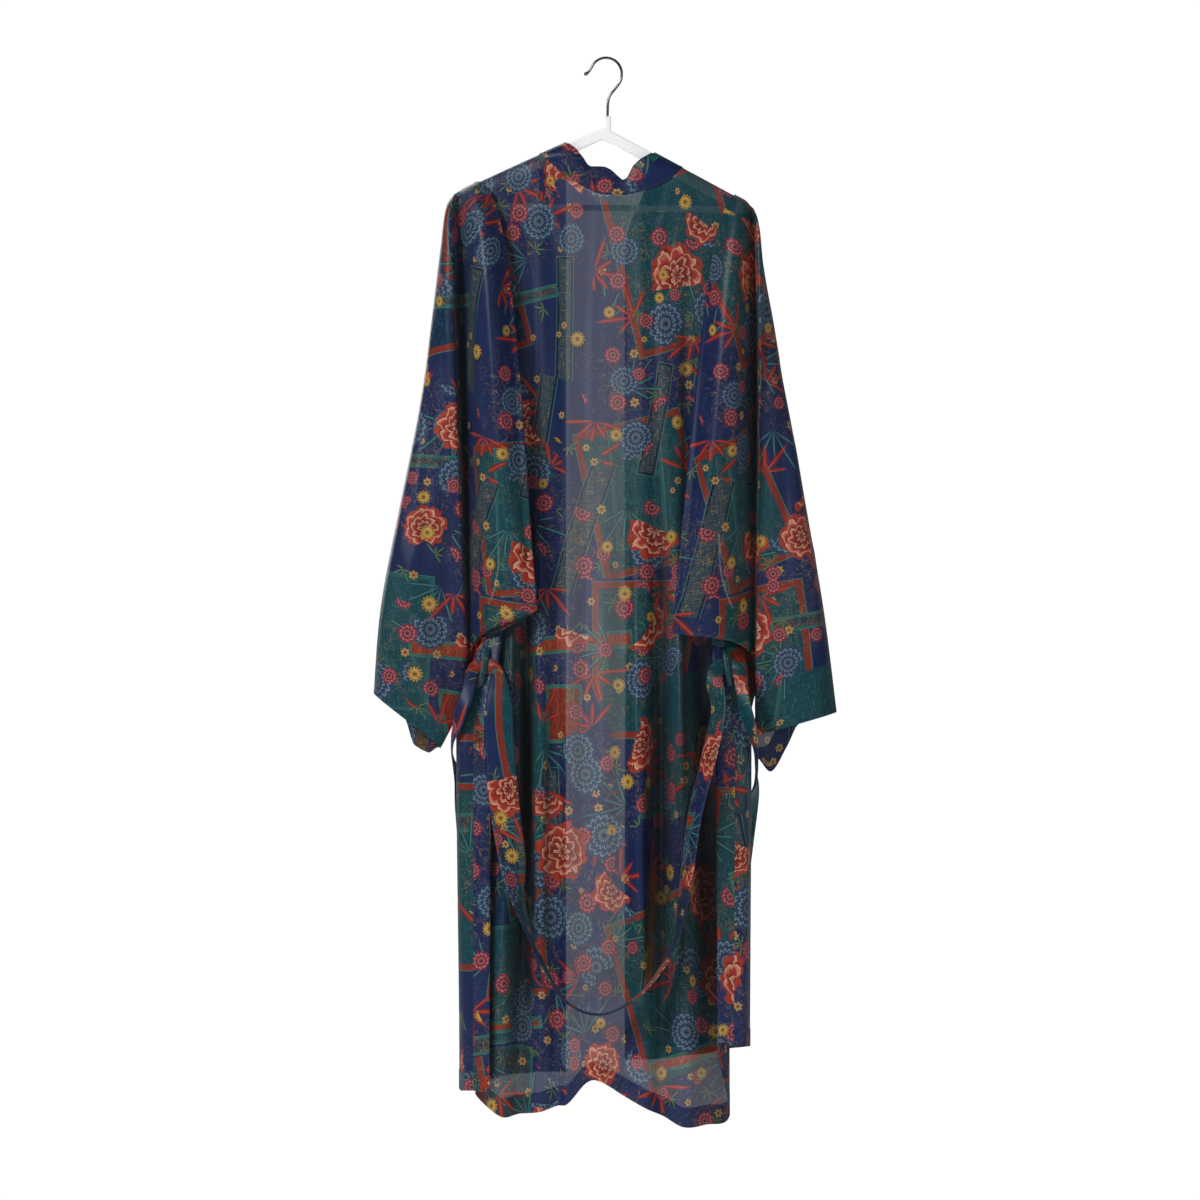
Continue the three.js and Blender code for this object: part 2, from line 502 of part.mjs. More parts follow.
// ---- Belt ----
// From its left end in front of the robe, up to the left carrier, down and up behind the robe, through the
// right carrier and down in front again.
const BELT = [
  { x: -165, out: -47, z: -1300, turn: 180, width: 34 },
  { x: -165, out: -45, z: -1240, turn: 180, width: 38 },
  { x: -167, out: -42, z: -1130, turn: 180, width: 38 },
  { x: -171, out: -41, z: -1020, turn: 176, width: 36 },
  { x: -181, out: -36, z: -945, turn: 150, width: 30 },
  { x: -194, out: -8, z: -898, turn: 95, width: 24 },
  { x: -195, out: 24, z: -868, turn: 80, width: 20 },
  { x: -188, out: 51, z: -845, turn: 45, width: 18 },
  { x: -181, out: 57, z: -822, turn: 25, width: 17 },
  { x: -174, out: 53, z: -802, turn: 10, width: 16 },
  { x: -171, out: 44, z: -785, turn: 8, width: 16 },
  { x: -166, out: 37.6, z: -776, turn: 10, width: 18 },
  { x: -160, out: 35.8, z: -774, turn: 10, width: 20 },
  { x: -151, out: 36.2, z: -773, turn: 10, width: 20 },
  { x: -144, out: 38.2, z: -774, turn: 8, width: 18 },
  { x: -137, out: 48, z: -787, turn: 4, width: 20 },
  { x: -135, out: 59, z: -818, turn: 0, width: 33 },
  { x: -135, out: 62, z: -867, turn: 0, width: 38 },
  { x: -129, out: 64, z: -940, turn: 8, width: 38 },
  { x: -119, out: 68, z: -1010, turn: 25, width: 38 },
  { x: -112, out: 74, z: -1062, turn: 62, width: 38 },
  { x: -96.5, out: 78, z: -1108, turn: 80, width: 38 },
  { x: -76, out: 79, z: -1155, turn: 86, width: 38 },
  { x: -50, out: 79, z: -1195, turn: 90, width: 38 },
  { x: -11, out: 80, z: -1211, turn: 92, width: 38 },
  { x: 29, out: 80, z: -1196, turn: 90, width: 38 },
  { x: 65, out: 79, z: -1160, turn: 86, width: 38 },
  { x: 90, out: 77, z: -1108, turn: 78, width: 38 },
  { x: 101, out: 75, z: -1040, turn: 66, width: 36 },
  { x: 112, out: 72, z: -960, turn: 60, width: 34 },
  { x: 130, out: 70, z: -886, turn: 55, width: 32 },
  { x: 142, out: 62, z: -826, turn: 50, width: 28 },
  { x: 137, out: 50, z: -790, turn: 20, width: 22 },
  { x: 142, out: 39.8, z: -775, turn: 12, width: 20 },
  { x: 149, out: 36.2, z: -773, turn: 10, width: 20 },
  { x: 158, out: 35.8, z: -774, turn: 10, width: 20 },
  { x: 164, out: 37.6, z: -776, turn: 10, width: 18 },
  { x: 169, out: 44, z: -785, turn: 4, width: 16 },
  { x: 172, out: 53, z: -802, turn: -10, width: 16 },
  { x: 176, out: 58, z: -826, turn: -28, width: 18 },
  { x: 183, out: 57, z: -850, turn: -50, width: 20 },
  { x: 190, out: 36, z: -884, turn: -80, width: 20 },
  { x: 191, out: 4, z: -915, turn: -90, width: 22 },
  { x: 186, out: -34, z: -948, turn: -140, width: 24 },
  { x: 174, out: -43, z: -1000, turn: -165, width: 32 },
  { x: 165, out: -42, z: -1060, turn: -178, width: 35 },
  { x: 163, out: -42, z: -1130, turn: -180, width: 36 },
  { x: 165, out: -43, z: -1180, turn: -180, width: 34 },
];

// ---- Belt carriers ----
const CARRIER = { width: 7, thick: 1.4, top: -749, bottom: -798 };
// How far the carrier stands off the seam, down its length.
const CARRIER_STANDS = [2.9, 7.8, 9.2, 9.8, 9.8, 8.8, 2.9];

function carrierRows(seamU) {
  return CARRIER_STANDS.map((stand, i) => {
    const z = mix(CARRIER.top, CARRIER.bottom, i / (CARRIER_STANDS.length - 1));
    const seam = backPoint(seamU, z);
    return { x: seam.x, out: stand - seam.y, z, turn: 0, width: CARRIER.width };
  });
}

// ---- Hanger and hook ----
const HANGER_TOP = 1.95; // how far the arms lie under the middle of the cloth
const ARM_DEEP = 16; // the arm's height, straight down
const underCloth = (x) => [x, shoulderZ(x) - HANGER_TOP];
const underArm = (x) => [x, shoulderZ(x) - HANGER_TOP - ARM_DEEP];
const HANGER_OUTER = [
  [6.5, -73], [6.5, -91.5], underCloth(20), underCloth(165), [172, -181.5], [176, -188], [174, -195],
  [168, -196], [-178, -191], [-184, -188], [-187, -180], [-184, -172], underCloth(-177), underCloth(-20),
  [-2.5, -86.5], [-2.5, -73],
];
const HANGER_INNER = [
  underArm(10), underArm(-5), underArm(-163), [-166, -183.5], [150, -187.5], underArm(148),
];
const HANGER_ROUND = 2.8;

function hangerBody() {
  const shape = new THREE.Shape(HANGER_OUTER.map(([x, z]) => new THREE.Vector2(x, z)));
  shape.holes.push(new THREE.Path(HANGER_INNER.map(([x, z]) => new THREE.Vector2(x, z))));
  const geometry = new THREE.ExtrudeGeometry(shape, {
    depth: HANGER_THICK - 2 * HANGER_ROUND, bevelSize: HANGER_ROUND, bevelThickness: HANGER_ROUND,
    bevelOffset: -HANGER_ROUND, bevelSegments: 3,
  });
  geometry.translate(0, 0, HANGER_ROUND - HANGER_THICK / 2);
  return geometry.rotateX(Math.PI / 2);
}

const HOOK_MIDDLE = HOOK.wire / 2 - HOOK.radius; // height of the middle of the hook's bend
const HOOK_TIP = [[-28, -20], [-22.5, -16.5]];
const HOOK_NECK = [[18.5, -28], [11.5, -38], [5, -46.5], [2.5, -56], [2, -72.7]];
const HOOK_STEPS = 40;
const HOOK_SIDES = 8;
// The bead on the hook's tip: how many steps from the end, how long, how much thicker, and how it closes.
const BEAD = { at: 1, long: 1.3, swell: 0.45, end: 0.55 };
function hookCurve() {
  const bend = Array.from({ length: 9 }, (_, i) => {
    const angle = mix(Math.PI * 0.86, 0, i / 8);
    return [HOOK.radius * Math.cos(angle), HOOK_MIDDLE + HOOK.radius * Math.sin(angle)];
  });
  const places = [...HOOK_TIP, ...bend, ...HOOK_NECK].map(([x, z]) => new THREE.Vector3(x, 0, z));
  return new THREE.CatmullRomCurve3(places, false, 'centripetal');
}

function hook() {
  const points = hookCurve().getSpacedPoints(HOOK_STEPS);
  const angles = Array.from({ length: HOOK_SIDES }, (_, i) => (i * 2 * Math.PI) / HOOK_SIDES);
  const section = angles.map((angle) => [Math.cos(angle), Math.sin(angle)]);
  const side = new THREE.Vector3(0, 1, 0);
  const stations = points.map((at, i) => {
    const bead = 1 + BEAD.swell * Math.exp(-(((i - BEAD.at) / BEAD.long) ** 2));
    const radius = (HOOK.wire / 2) * bead * (i === 0 ? BEAD.end : 1);
    const wide = tangentAt(points, i).cross(side).multiplyScalar(radius);
    return { at, wide, deep: side.clone().multiplyScalar(radius) };
  });
  return sweep(stations, section);
}

// ---- Assembly ----
const robe = new THREE.Group();
function add(name, geometry, colour) {
  const mesh = new THREE.Mesh(geometry, new THREE.MeshStandardMaterial(COLOURS[colour]));
  mesh.name = name;
  robe.add(mesh);
}

const backPanel = backGrid();
add('back', wall(backPanel, CLOTH), 'cloth');
for (const side of ['left', 'right']) {
  add(`front_${side}`, wall(frontGrid(side), CLOTH), 'cloth');
  add(`sleeve_${side}`, wall(sleeveGrid(side), CLOTH, true), 'cloth');
}
add('collar_band', wall(bandGrid(backPanel[0]), DOUBLE), 'band');
add('belt', strip(BELT, DOUBLE, 2), 'band');
add('belt_loop_left', strip(carrierRows(0), CARRIER.thick, 1), 'band');
add('belt_loop_right', strip(carrierRows(BACK_FOLDS.length - 1), CARRIER.thick, 1), 'band');
add('hanger', hangerBody(), 'plastic');
add('hook', hook(), 'chrome');

export default robe;
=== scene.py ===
"""A long kimono robe of thin printed cloth on its hanger, with its tie belt. Tables are in millimetres."""
import math

import bpy
import numpy as np
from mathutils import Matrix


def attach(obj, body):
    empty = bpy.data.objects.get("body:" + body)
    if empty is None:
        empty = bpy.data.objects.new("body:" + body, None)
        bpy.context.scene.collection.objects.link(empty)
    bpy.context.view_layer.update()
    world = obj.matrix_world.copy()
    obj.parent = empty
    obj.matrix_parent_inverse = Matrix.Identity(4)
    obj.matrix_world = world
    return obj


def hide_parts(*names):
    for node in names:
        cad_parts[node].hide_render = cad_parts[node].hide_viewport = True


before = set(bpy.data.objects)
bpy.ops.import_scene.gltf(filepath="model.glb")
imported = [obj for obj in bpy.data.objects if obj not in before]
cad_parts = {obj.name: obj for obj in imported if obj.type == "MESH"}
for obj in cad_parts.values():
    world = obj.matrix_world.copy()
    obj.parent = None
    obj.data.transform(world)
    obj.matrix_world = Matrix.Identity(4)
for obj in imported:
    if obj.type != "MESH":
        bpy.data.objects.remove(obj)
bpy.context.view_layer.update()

MM = 0.001

# ---- Camera ----
PIXEL = 1.27  # millimetres in one pixel of a 1200 by 1200 frame
CENTRE = (-7.6, -20.0, -689.0)
DISTANCE = 6.5


def place_object(name, data):
    placed = bpy.data.objects.new(name, data)
    bpy.context.scene.collection.objects.link(placed)
    return placed


def make_camera():
    data = bpy.data.cameras.new("camera")
    camera = place_object("camera", data)
    camera.location = (CENTRE[0] * MM, CENTRE[1] * MM - DISTANCE, CENTRE[2] * MM)
    camera.rotation_euler = (math.pi / 2, 0, 0)
    data.sensor_width = 36
    data.lens = 36 * DISTANCE / (1200 * PIXEL * MM)
    data.clip_end = 50
    bpy.context.scene.camera = camera


make_camera()

# ---- Sizes shared with the solids ----
SHOULDER_LEFT = (-82.8, 0.456)
SHOULDER_RIGHT = (-85.8, -0.539)
ROLL = 3.6
RIDGE_OUT = 15
RIDGE_GAP = 0.45
EDGE_OUT = 14
UNDERARM = -745
ARMHOLE = -650
SIDE_GAP = 0.54
LAP = 2.1
INWARD = {"left": 1, "right": -1}
SIDES = ("left", "right")
X_LEVELS = [-160, -330, -640, -880, -1310]
OUT_LEVELS = [-330, -640, -880, -1100, -1310]
FRONT_X_LEVELS = [-160, -330, -640, -745, -790, -860, -1310]

# Fold lines of the back: place across at X_LEVELS, stand-out at OUT_LEVELS, height of the hem.
BACK_FOLDS = [
    ([-168, -136, -136, -168, -168], [12, 13, 44, 45, 42], -1310),
    ([-160, -131, -128, -144, -147], [12, 14, 50, 50, 46], -1311),
    ([-152, -127, -124, -150, -166], [12, 13, 14, 14, 14], -1317),
    ([-143, -120, -117, -122, -134], [13, 14, 46, 48, 40], -1343),
    ([-112, -98, -101, -101, -110], [12, 9, 6, 10, 24], -1341),
    ([-85.5, -80, -86, -86, -84], [14, 22, 44, 42, 44], -1337),
    ([-70, -60, -62, -62, -62], [12, 16, 33, 34, 34], -1330),
    ([-45, -44, -45, -46, -48], [14, 21, 42, 44, 46], -1326),
    ([-20, -20, -24, -26, -24], [12, 16, 36, 38, 40], -1300),
    ([0, 0, -4, -5, -6], [13, 20, 42, 46, 46], -1299),
    ([24, 24, 24, 22, 24], [12, 15, 35, 38, 38], -1318),
    ([48, 46, 42, 44, 50], [14, 20, 44, 48, 48], -1332),
    ([72, 66, 70, 70, 72], [12, 12, 8, 14, 30], -1343),
    ([98.5, 90, 91, 96, 98], [14, 18, 46, 48, 46], -1356),
    ([120, 112, 113, 122, 126], [12, 11, 8, 12, 24], -1355),
    ([140, 126, 126, 150, 157], [12, 12, 14, 16, 20], -1343),
    ([150, 134, 132, 138, 141], [12, 14, 48, 49, 46], -1256),
    ([167, 142, 140, 163, 162], [12, 13, 44, 45, 42], -1254),
]
# Fold lines of the fronts: place across at FRONT_X_LEVELS, stand-out, hem.
FRONT_FOLDS = {
    "left": [
        ([-164, -132, -136, -161, -172, -180, -178], [-14, -14, 45, 45, 42], -1310),
        ([-156, -127, -134, -163, -174, -188, -184], [-15, -16, 32, 32, 28], -1311),
        ([-147, -122, -129, -159, -167, -190, -186], [-15, -18, 8, 8, 5], -1308),
        ([-137, -116, -121, -148, -158, -181, -175], [-14, -20, -14, -15, -16], -1305),
        ([-126, -111, -124, -176, -181, -176, -159], [-15, -22, -28, -30, -34], -1302),
        ([-115, -105, -108, -123, -130, -144, -142], [-14, -16, -14, -16, -18], -1300),
        ([-105, -100, -102, -109, -112, -119, -120], [-15, -22, -28, -30, -34], -1296),
        ([-95, -94, -95, -98, -99, -102, -103], [-14, -16, -18, -20, -22], -1294),
        ([-85.6, -89, -89, -89, -89, -89, -89], [-14, -18, -20, -22, -24], -1292),
    ],
    "right": [
        ([162, 138, 144, 170, 175, 175, 173], [-14, -14, 45, 45, 42], -1254),
        ([155, 132, 142, 174, 181, 182, 180], [-15, -16, 32, 32, 30], -1255),
        ([148, 125, 136, 171, 180, 185, 183], [-15, -18, 6, 6, 5], -1257),
        ([140, 118, 129, 156, 166, 177, 174], [-14, -20, -16, -16, -16], -1260),
        ([131, 108, 122, 189, 192, 177, 152], [-15, -22, -28, -30, -34], -1264),
        ([122, 97, 100, 112, 118, 129, 128], [-14, -16, -14, -16, -18], -1268),
        ([114, 86, 88, 95, 98, 104, 104], [-15, -22, -28, -30, -34], -1272),
        ([106, 76, 74, 77, 79, 82, 82], [-14, -16, -18, -20, -22], -1274),
        ([98.4, 66, 62, 62, 62, 62, 62], [-14, -18, -20, -22, -24], -1276),
    ],
}
NECK_X = [-85.5, -73.7, -49.5, -20, -4, 18, 46, 63.5, 84, 98.5]
NECK_Z = [-121.6, -130.5, -149, -168, -173.4, -174.6, -169.5, -164.5, -153, -138.6]

# Sleeve rows: top x, top z, low x, low z, low stand-out, bow, back swell, front swell.
SLEEVES = {
    "left": [
        (-165, -156, -89, -704, 58, 26, 12, 12),
        (-169, -158, -107, -705, 63, 20, 30, 13),
        (-175, -161, -127, -707, 60, 12, 40, 14),
        (-181, -164, -152, -720, 42, 4, 26, 15),
        (-187, -168, -173, -756, 8, 0, 3, 16),
        (-195, -174, -176, -780, 9, -3, 36, 18),
        (-204, -192, -179, -802, 9, -3, 38, 22),
        (-212, -257, -184, -820, 9, -2, 32, 26),
        (-223, -340, -190, -836, 9, 0, 27, 26),
        (-239, -450, -197, -851, 9, 0, 25, 24),
        (-264, -575, -203, -862, 9, 0, 26, 22),
        (-287, -698, -207, -869, 9, 0, 22, 20),
        (-296, -808, -211, -875, 8, 0, 18, 18),
    ],
    "right": [
        (166, -173.2, 85, -731, 58, -20, 12, 12),
        (169, -174.8, 105, -734, 63, -14, 30, 13),
        (173, -177, 130, -737, 60, -6, 40, 14),
        (178, -180, 160, -742, 42, 2, 26, 15),
        (183, -186, 187, -760, 8, 6, 3, 16),
        (188, -192, 190, -790, 9, 5, 36, 18),
        (193, -208, 190, -815, 9, 4, 38, 22),
        (199, -262, 190, -828, 9, 2, 32, 26),
        (214, -345, 190, -838, 9, 0, 27, 26),
        (234, -452, 190, -846, 9, 0, 25, 24),
        (255, -570, 190, -853, 9, 0, 26, 22),
        (278, -705, 190, -858, 9, 0, 22, 20),
        (294, -832, 190, -862, 8, 0, 18, 18),
    ],
}
PLEAT_ROWS = 5
FRONT_LOW = 7
UNDER_SIDE = (178, 50, -736)
SIDE_STAND = 14
LOW_STAND = 2.5
CUFF_SHARE = [0, 0.45, 0.6, 0.8, 1]
CUFF_DROP = {"left": [0, 2, 26, 22, 3], "right": [0, 2, 26, 52, 28]}
FALL = [0, 0.004, 0.012, 0.028, 0.06, 0.13, 0.24, 0.38, 0.53, 0.68, 0.8, 0.89, 0.95, 1]

BAND_GAP = 0.75
BAND_BULGE = 4
BAND_FORWARD = 8
BAND_SETTLE = (0.11, 0.33)
BULGE_END = 0.125
BAND_FREE = {"left": (-50.8, -106, -51), "right": (61, -118.7, 24)}
NECK_SHARE = [0, 0.1, 0.2, 0.29, 0.4, 0.5, 0.57, 0.64, 0.7, 0.77, 0.87, 1]
NECK_FREE_X = [-50.8, -39.4, -29, -20, -4, 7.6, 15, 23, 30, 34, 43, 61]
NECK_FREE_Z = [-106, -114, -126.5, -137.5, -138, -143, -150, -155, -146, -138, -129, -118.7]

# Belt rows: x, stand-out, z, turn, width.
BELT = [
    (-165, -47, -1300, 180, 34),
    (-165, -45, -1240, 180, 38),
    (-167, -42, -1130, 180, 38),
    (-171, -41, -1020, 176, 36),
    (-181, -36, -945, 150, 30),
    (-194, -8, -898, 95, 24),
    (-195, 24, -868, 80, 20),
    (-188, 51, -845, 45, 18),
    (-181, 57, -822, 25, 17),
    (-174, 53, -802, 10, 16),
    (-171, 44, -785, 8, 16),
    (-166, 37.6, -776, 10, 18),
    (-160, 35.8, -774, 10, 20),
    (-151, 36.2, -773, 10, 20),
    (-144, 38.2, -774, 8, 18),
    (-137, 48, -787, 4, 20),
    (-135, 59, -818, 0, 33),
    (-135, 62, -867, 0, 38),
    (-129, 64, -940, 8, 38),
    (-119, 68, -1010, 25, 38),
    (-112, 74, -1062, 62, 38),
    (-96.5, 78, -1108, 80, 38),
    (-76, 79, -1155, 86, 38),
    (-50, 79, -1195, 90, 38),
    (-11, 80, -1211, 92, 38),
    (29, 80, -1196, 90, 38),
    (65, 79, -1160, 86, 38),
    (90, 77, -1108, 78, 38),
    (101, 75, -1040, 66, 36),
    (112, 72, -960, 60, 34),
    (130, 70, -886, 55, 32),
    (142, 62, -826, 50, 28),
    (137, 50, -790, 20, 22),
    (142, 39.8, -775, 12, 20),
    (149, 36.2, -773, 10, 20),
    (158, 35.8, -774, 10, 20),
    (164, 37.6, -776, 10, 18),
    (169, 44, -785, 4, 16),
    (172, 53, -802, -10, 16),
    (176, 58, -826, -28, 18),
    (183, 57, -850, -50, 20),
    (190, 36, -884, -80, 20),
    (191, 4, -915, -90, 22),
    (186, -34, -948, -140, 24),
    (174, -43, -1000, -165, 32),
    (165, -42, -1060, -178, 35),
    (163, -42, -1130, -180, 36),
    (165, -43, -1180, -180, 34),
]
CARRIER = {"width": 7, "top": -749, "bottom": -798}
CARRIER_STANDS = [2.9, 7.8, 9.2, 9.8, 9.8, 8.8, 2.9]
HOOK_RADIUS = 20
HOOK_WIRE = 3.4


# ---- Numbers along a line ----
def mix(a, b, t):
    return a + (b - a) * t


def ease(t):
    t = np.clip(t, 0, 1)
    return t * t * (3 - 2 * t)


def through(levels, values, at):
    """A smooth curve through values at falling or rising levels, level outside them."""
    levels = np.asarray(levels, float)
    values = np.asarray(values, float)
    rising = 1 if levels[1] > levels[0] else -1
    levels = levels * rising
    at = np.clip(np.asarray(at, float) * rising, levels[0], levels[-1])
    steps = np.diff(values) / np.diff(levels)
    before, after = steps[:-1], steps[1:]
    grade = np.zeros(len(levels))
    same = before * after > 0
    grade[1:-1][same] = 2 * before[same] * after[same] / (before[same] + after[same])
    k = np.clip(np.searchsorted(levels, at, side="right") - 1, 0, len(levels) - 2)
    span = levels[k + 1] - levels[k]
    t = (at - levels[k]) / span
    leaving = t**3 - 2 * t**2 + t
    arriving = t**3 - t**2
    return mix(values[k], values[k + 1], t * t * (3 - 2 * t)) + span * (
        leaving * grade[k] + arriving * grade[k + 1]
    )


def curve(a, b, c, d, t):
    """A smooth curve from b to c, steered by the values before and after them."""
    return 0.5 * (
        2 * b + (c - a) * t + (2 * a - 5 * b + 4 * c - d) * t * t + (3 * b - a - 3 * c + d) * t**3
    )


def between(stack, u):
    """The value at place u along the first axis of a stack, smooth through its whole places."""
    stack = np.asarray(stack, float)
    last = len(stack) - 1
    k = np.clip(np.floor(u).astype(int), 0, last - 1)
    t = u - k

    def take(i):
        at = np.clip(k + i, 0, last)
        if stack.ndim == 1:
            return stack[at]
        return np.take_along_axis(stack, np.broadcast_to(at, stack.shape[1:])[None], axis=0)[0]

    return curve(take(-1), take(0), take(1), take(2), t)


def resample(grid, places):
    """Rows of a grid of points at fractional places, smooth through its whole rows."""
    grid = np.asarray(grid, float)
    last = len(grid) - 1
    k = np.clip(np.floor(places).astype(int), 0, last - 1)
    t = (places - k)[:, None, None]
    return curve(*(grid[np.clip(k + i, 0, last)] for i in (-1, 0, 1, 2)), t)


def shoulder_z(x):
    left = SHOULDER_LEFT[0] + SHOULDER_LEFT[1] * x
    right = SHOULDER_RIGHT[0] + SHOULDER_RIGHT[1] * x
    return np.where(x < 0, left, right)


def roll(drop):
    return 1 - np.exp(-np.maximum(0, drop) / ROLL)


def top_z(x):
    in_neck = (x > NECK_X[0]) & (x < NECK_X[-1])
    return np.where(in_neck, through(NECK_X, NECK_Z, x), shoulder_z(x))


# ---- Panels ----
DROPS = [0, 0.0016, 0.005, 0.011, 0.024, 0.05]
PANEL_ROWS = DROPS + [mix(0.09, 1, i / 15) for i in range(16)]


def back_point(u, z):
    x = between([through(X_LEVELS, fold[0], z) for fold in BACK_FOLDS], u)
    out = between([through(OUT_LEVELS, fold[1], z) for fold in BACK_FOLDS], u)
    return np.stack([x, -out * roll(shoulder_z(x) - z) - RIDGE_GAP, z], -1)


def front_point(side, u, z):
    folds = FRONT_FOLDS[side]
    seam = back_point(np.full_like(z, 0.0 if side == "left" else len(BACK_FOLDS) - 1), z)
    opened = ease((z - UNDERARM) / (ARMHOLE - UNDERARM))
    armhole = -EDGE_OUT * roll(shoulder_z(seam[..., 0]) - z) - RIDGE_GAP
    edge_x = seam[..., 0] - INWARD[side] * SIDE_GAP * (1 - opened)
    edge_out = mix(-seam[..., 1], armhole, opened)
    xs = [edge_x] + [through(FRONT_X_LEVELS, fold[0], z) for fold in folds]
    x = between(xs, u)
    rolled = roll(shoulder_z(x) - z)
    outs = [edge_out] + [through(OUT_LEVELS, fold[1], z) * rolled - RIDGE_GAP for fold in folds]
    return np.stack([x, -between(outs, u), z], -1)


def panel(point, lines, across, down, hems):
    """A grid of points of a panel, with so many steps between fold lines and between rows."""
    u = np.arange((lines - 1) * across + 1) / across
    v = between(PANEL_ROWS, np.arange((len(PANEL_ROWS) - 1) * down + 1) / down)
    top = top_z(point(u, np.full_like(u, X_LEVELS[0]))[..., 0])
    hem = between(hems, u)
    z = mix(top[None, :], hem[None, :], v[:, None])
    return point(np.broadcast_to(u, z.shape), z)


# ---- Sleeves ----
def swell(t):
    return np.sin(np.pi * t**0.6) ** 0.7


def bowed(t):
    return np.sin(np.pi * t**0.45)


def front_fall(side, row, arm_share, t):
    drop = arm_share**2 * through(CUFF_SHARE, CUFF_DROP[side], t)
    z = mix(row[1], row[3], t) - drop
    x = mix(row[0], row[2], t) + row[5] * bowed(t) * 0.4
    depth = mix(RIDGE_OUT, FRONT_LOW, t) + row[7] * swell(t)
    return np.stack([x, roll(row[1] - z) * depth, z], -1)[::-1]


def back_fall(row, pleat, t):
    z = mix(row[1], row[3], t)
    x = mix(row[0], row[2], t) + row[5] * bowed(t)
    out = mix(RIDGE_OUT, row[4], t) + row[6] * swell(t)
    rise = np.maximum(0, shoulder_z(x) - shoulder_z(np.float64(row[0])))
    return np.stack([x, -roll(row[1] - z + rise * pleat) * out, z], -1)


def close_row(back, front, turn, steps):
    start, end = back[-1], front[0]
    t = (np.arange(1, steps) / steps)[:, None]
    under = mix(mix(start, turn, t), mix(turn, end, t), t)
    return np.concatenate([back, under, front[:-1]])


def armhole_row(side, t):
    back_edge = 0.25 if side == "left" else len(BACK_FOLDS) - 1.25

    def lapped(point, facing, z):
        down = point(z - 1, 0) - point(z + 1, 0)
        across = point(z, 0.1) - point(z, -0.1)
        normal = np.cross(down, across)
        normal /= np.linalg.norm(normal, axis=-1)[:, None]
        normal *= np.where(normal[:, 1:2] * facing < 0, -1, 1)
        return point(z, 0) + normal * (LAP + LOW_STAND * t**3)[:, None]

    ridge = shoulder_z(back_point(np.array([back_edge]), np.array([-160.0]))[0, 0])
    z = mix(ridge, UNDERARM + 8, t)
    front_edge = mix(0.2, 2.6, t**4)
    back = lapped(lambda z, shift: back_point(np.full_like(z, back_edge + shift), z), -1, z)
    front = lapped(lambda z, shift: front_point(side, front_edge + shift, z), 1, z)
    back[0] = (back[0, 0], 0, ridge + LAP)
    return back, front[::-1]


def sleeve_rows(side, fine):
    """The ways round a sleeve, from the armhole to the cuff, with fine steps down each fall."""
    rows = np.array(SLEEVES[side], float)
    t = np.clip(between(FALL, np.arange((len(FALL) - 1) * fine + 1) / fine), 0, 1)
    outward = -INWARD[side]
    armhole_back, armhole_front = armhole_row(side, t)
    valley_front = front_fall(side, rows[PLEAT_ROWS - 1], 0, t)
    beside = mix(armhole_back[-1], armhole_front[0], 0.5)
    beside[0] += outward * SIDE_STAND
    under = 5 * fine
    grid = [close_row(armhole_back, armhole_front, beside, under)]
    places = [i / 2 for i in range(PLEAT_ROWS * 2)] + list(range(PLEAT_ROWS, len(rows)))
    for u in places:
        row = np.array([between(column, np.array(u)) for column in rows.T])
        arm_share = np.clip((u - PLEAT_ROWS) / (len(rows) - 1 - PLEAT_ROWS), 0, 1)
        share = min(1, (u + 1) / PLEAT_ROWS)
        front = front_fall(side, row, arm_share, t) if share == 1 else mix(armhole_front, valley_front, share)
        back = back_fall(row, np.clip(PLEAT_ROWS - u, 0, 1), t)
        low = np.array([outward * UNDER_SIDE[0], -UNDER_SIDE[1], UNDER_SIDE[2]])
        turn = mix(mix(back[-1], front[0], 0.5), low, 1 - share)
        grid.append(close_row(back, front, turn, under))
    return np.array(grid), [-1.0] + places


# ---- Collar band ----
BAND_STEPS = 3


def band_row(seam, free, bulge):
    t = (np.arange(BAND_STEPS + 1) / BAND_STEPS)[:, None]
    out = np.zeros((BAND_STEPS + 1, 3))
    out[:, 1] = -bulge * np.sin(np.pi * t[:, 0])
    return mix(seam, free, t) + out


def front_band(side):
    ridge_x, ridge_z, low_x = BAND_FREE[side]
    lines = len(FRONT_FOLDS[side])
    hem = FRONT_FOLDS[side][-1][2]
    top = top_z(front_point(side, np.array([lines * 1.0]), np.array([-160.0]))[0, 0])
    rows = []
    for v in PANEL_ROWS[1:]:
        seam = front_point(side, np.array([lines * 1.0]), np.array([mix(top, hem, v)]))[0]
        seam[0] += INWARD[side] * BAND_GAP
        x = mix(ridge_x, low_x, ease(v / BAND_SETTLE[0]))
        z = mix(ridge_z, hem, v)
        depth = roll(shoulder_z(x) - z) * EDGE_OUT + BAND_FORWARD * ease(v / BAND_SETTLE[1])
        rows.append(band_row(seam, np.array([x, depth, z]), 0))
    return rows


def ridge_row(side):
    x, z, _ = BAND_FREE[side]
    seam_x = (NECK_X[0] if side == "left" else NECK_X[-1]) + INWARD[side] * BAND_GAP
    return band_row(np.array([seam_x, 0, shoulder_z(seam_x) + 0.2]), np.array([x, 0.0, z]), 0)


def over_ridge(side):
    row = ridge_row(side)
    share = 1 - np.arange(BAND_STEPS + 1) / BAND_STEPS
    row[:, 0] += INWARD[side] * 2.3 * share
    row[:, 1] -= EDGE_OUT * roll(2.2)
    row[:, 2] += 0.9 * share - 2.2
    return row


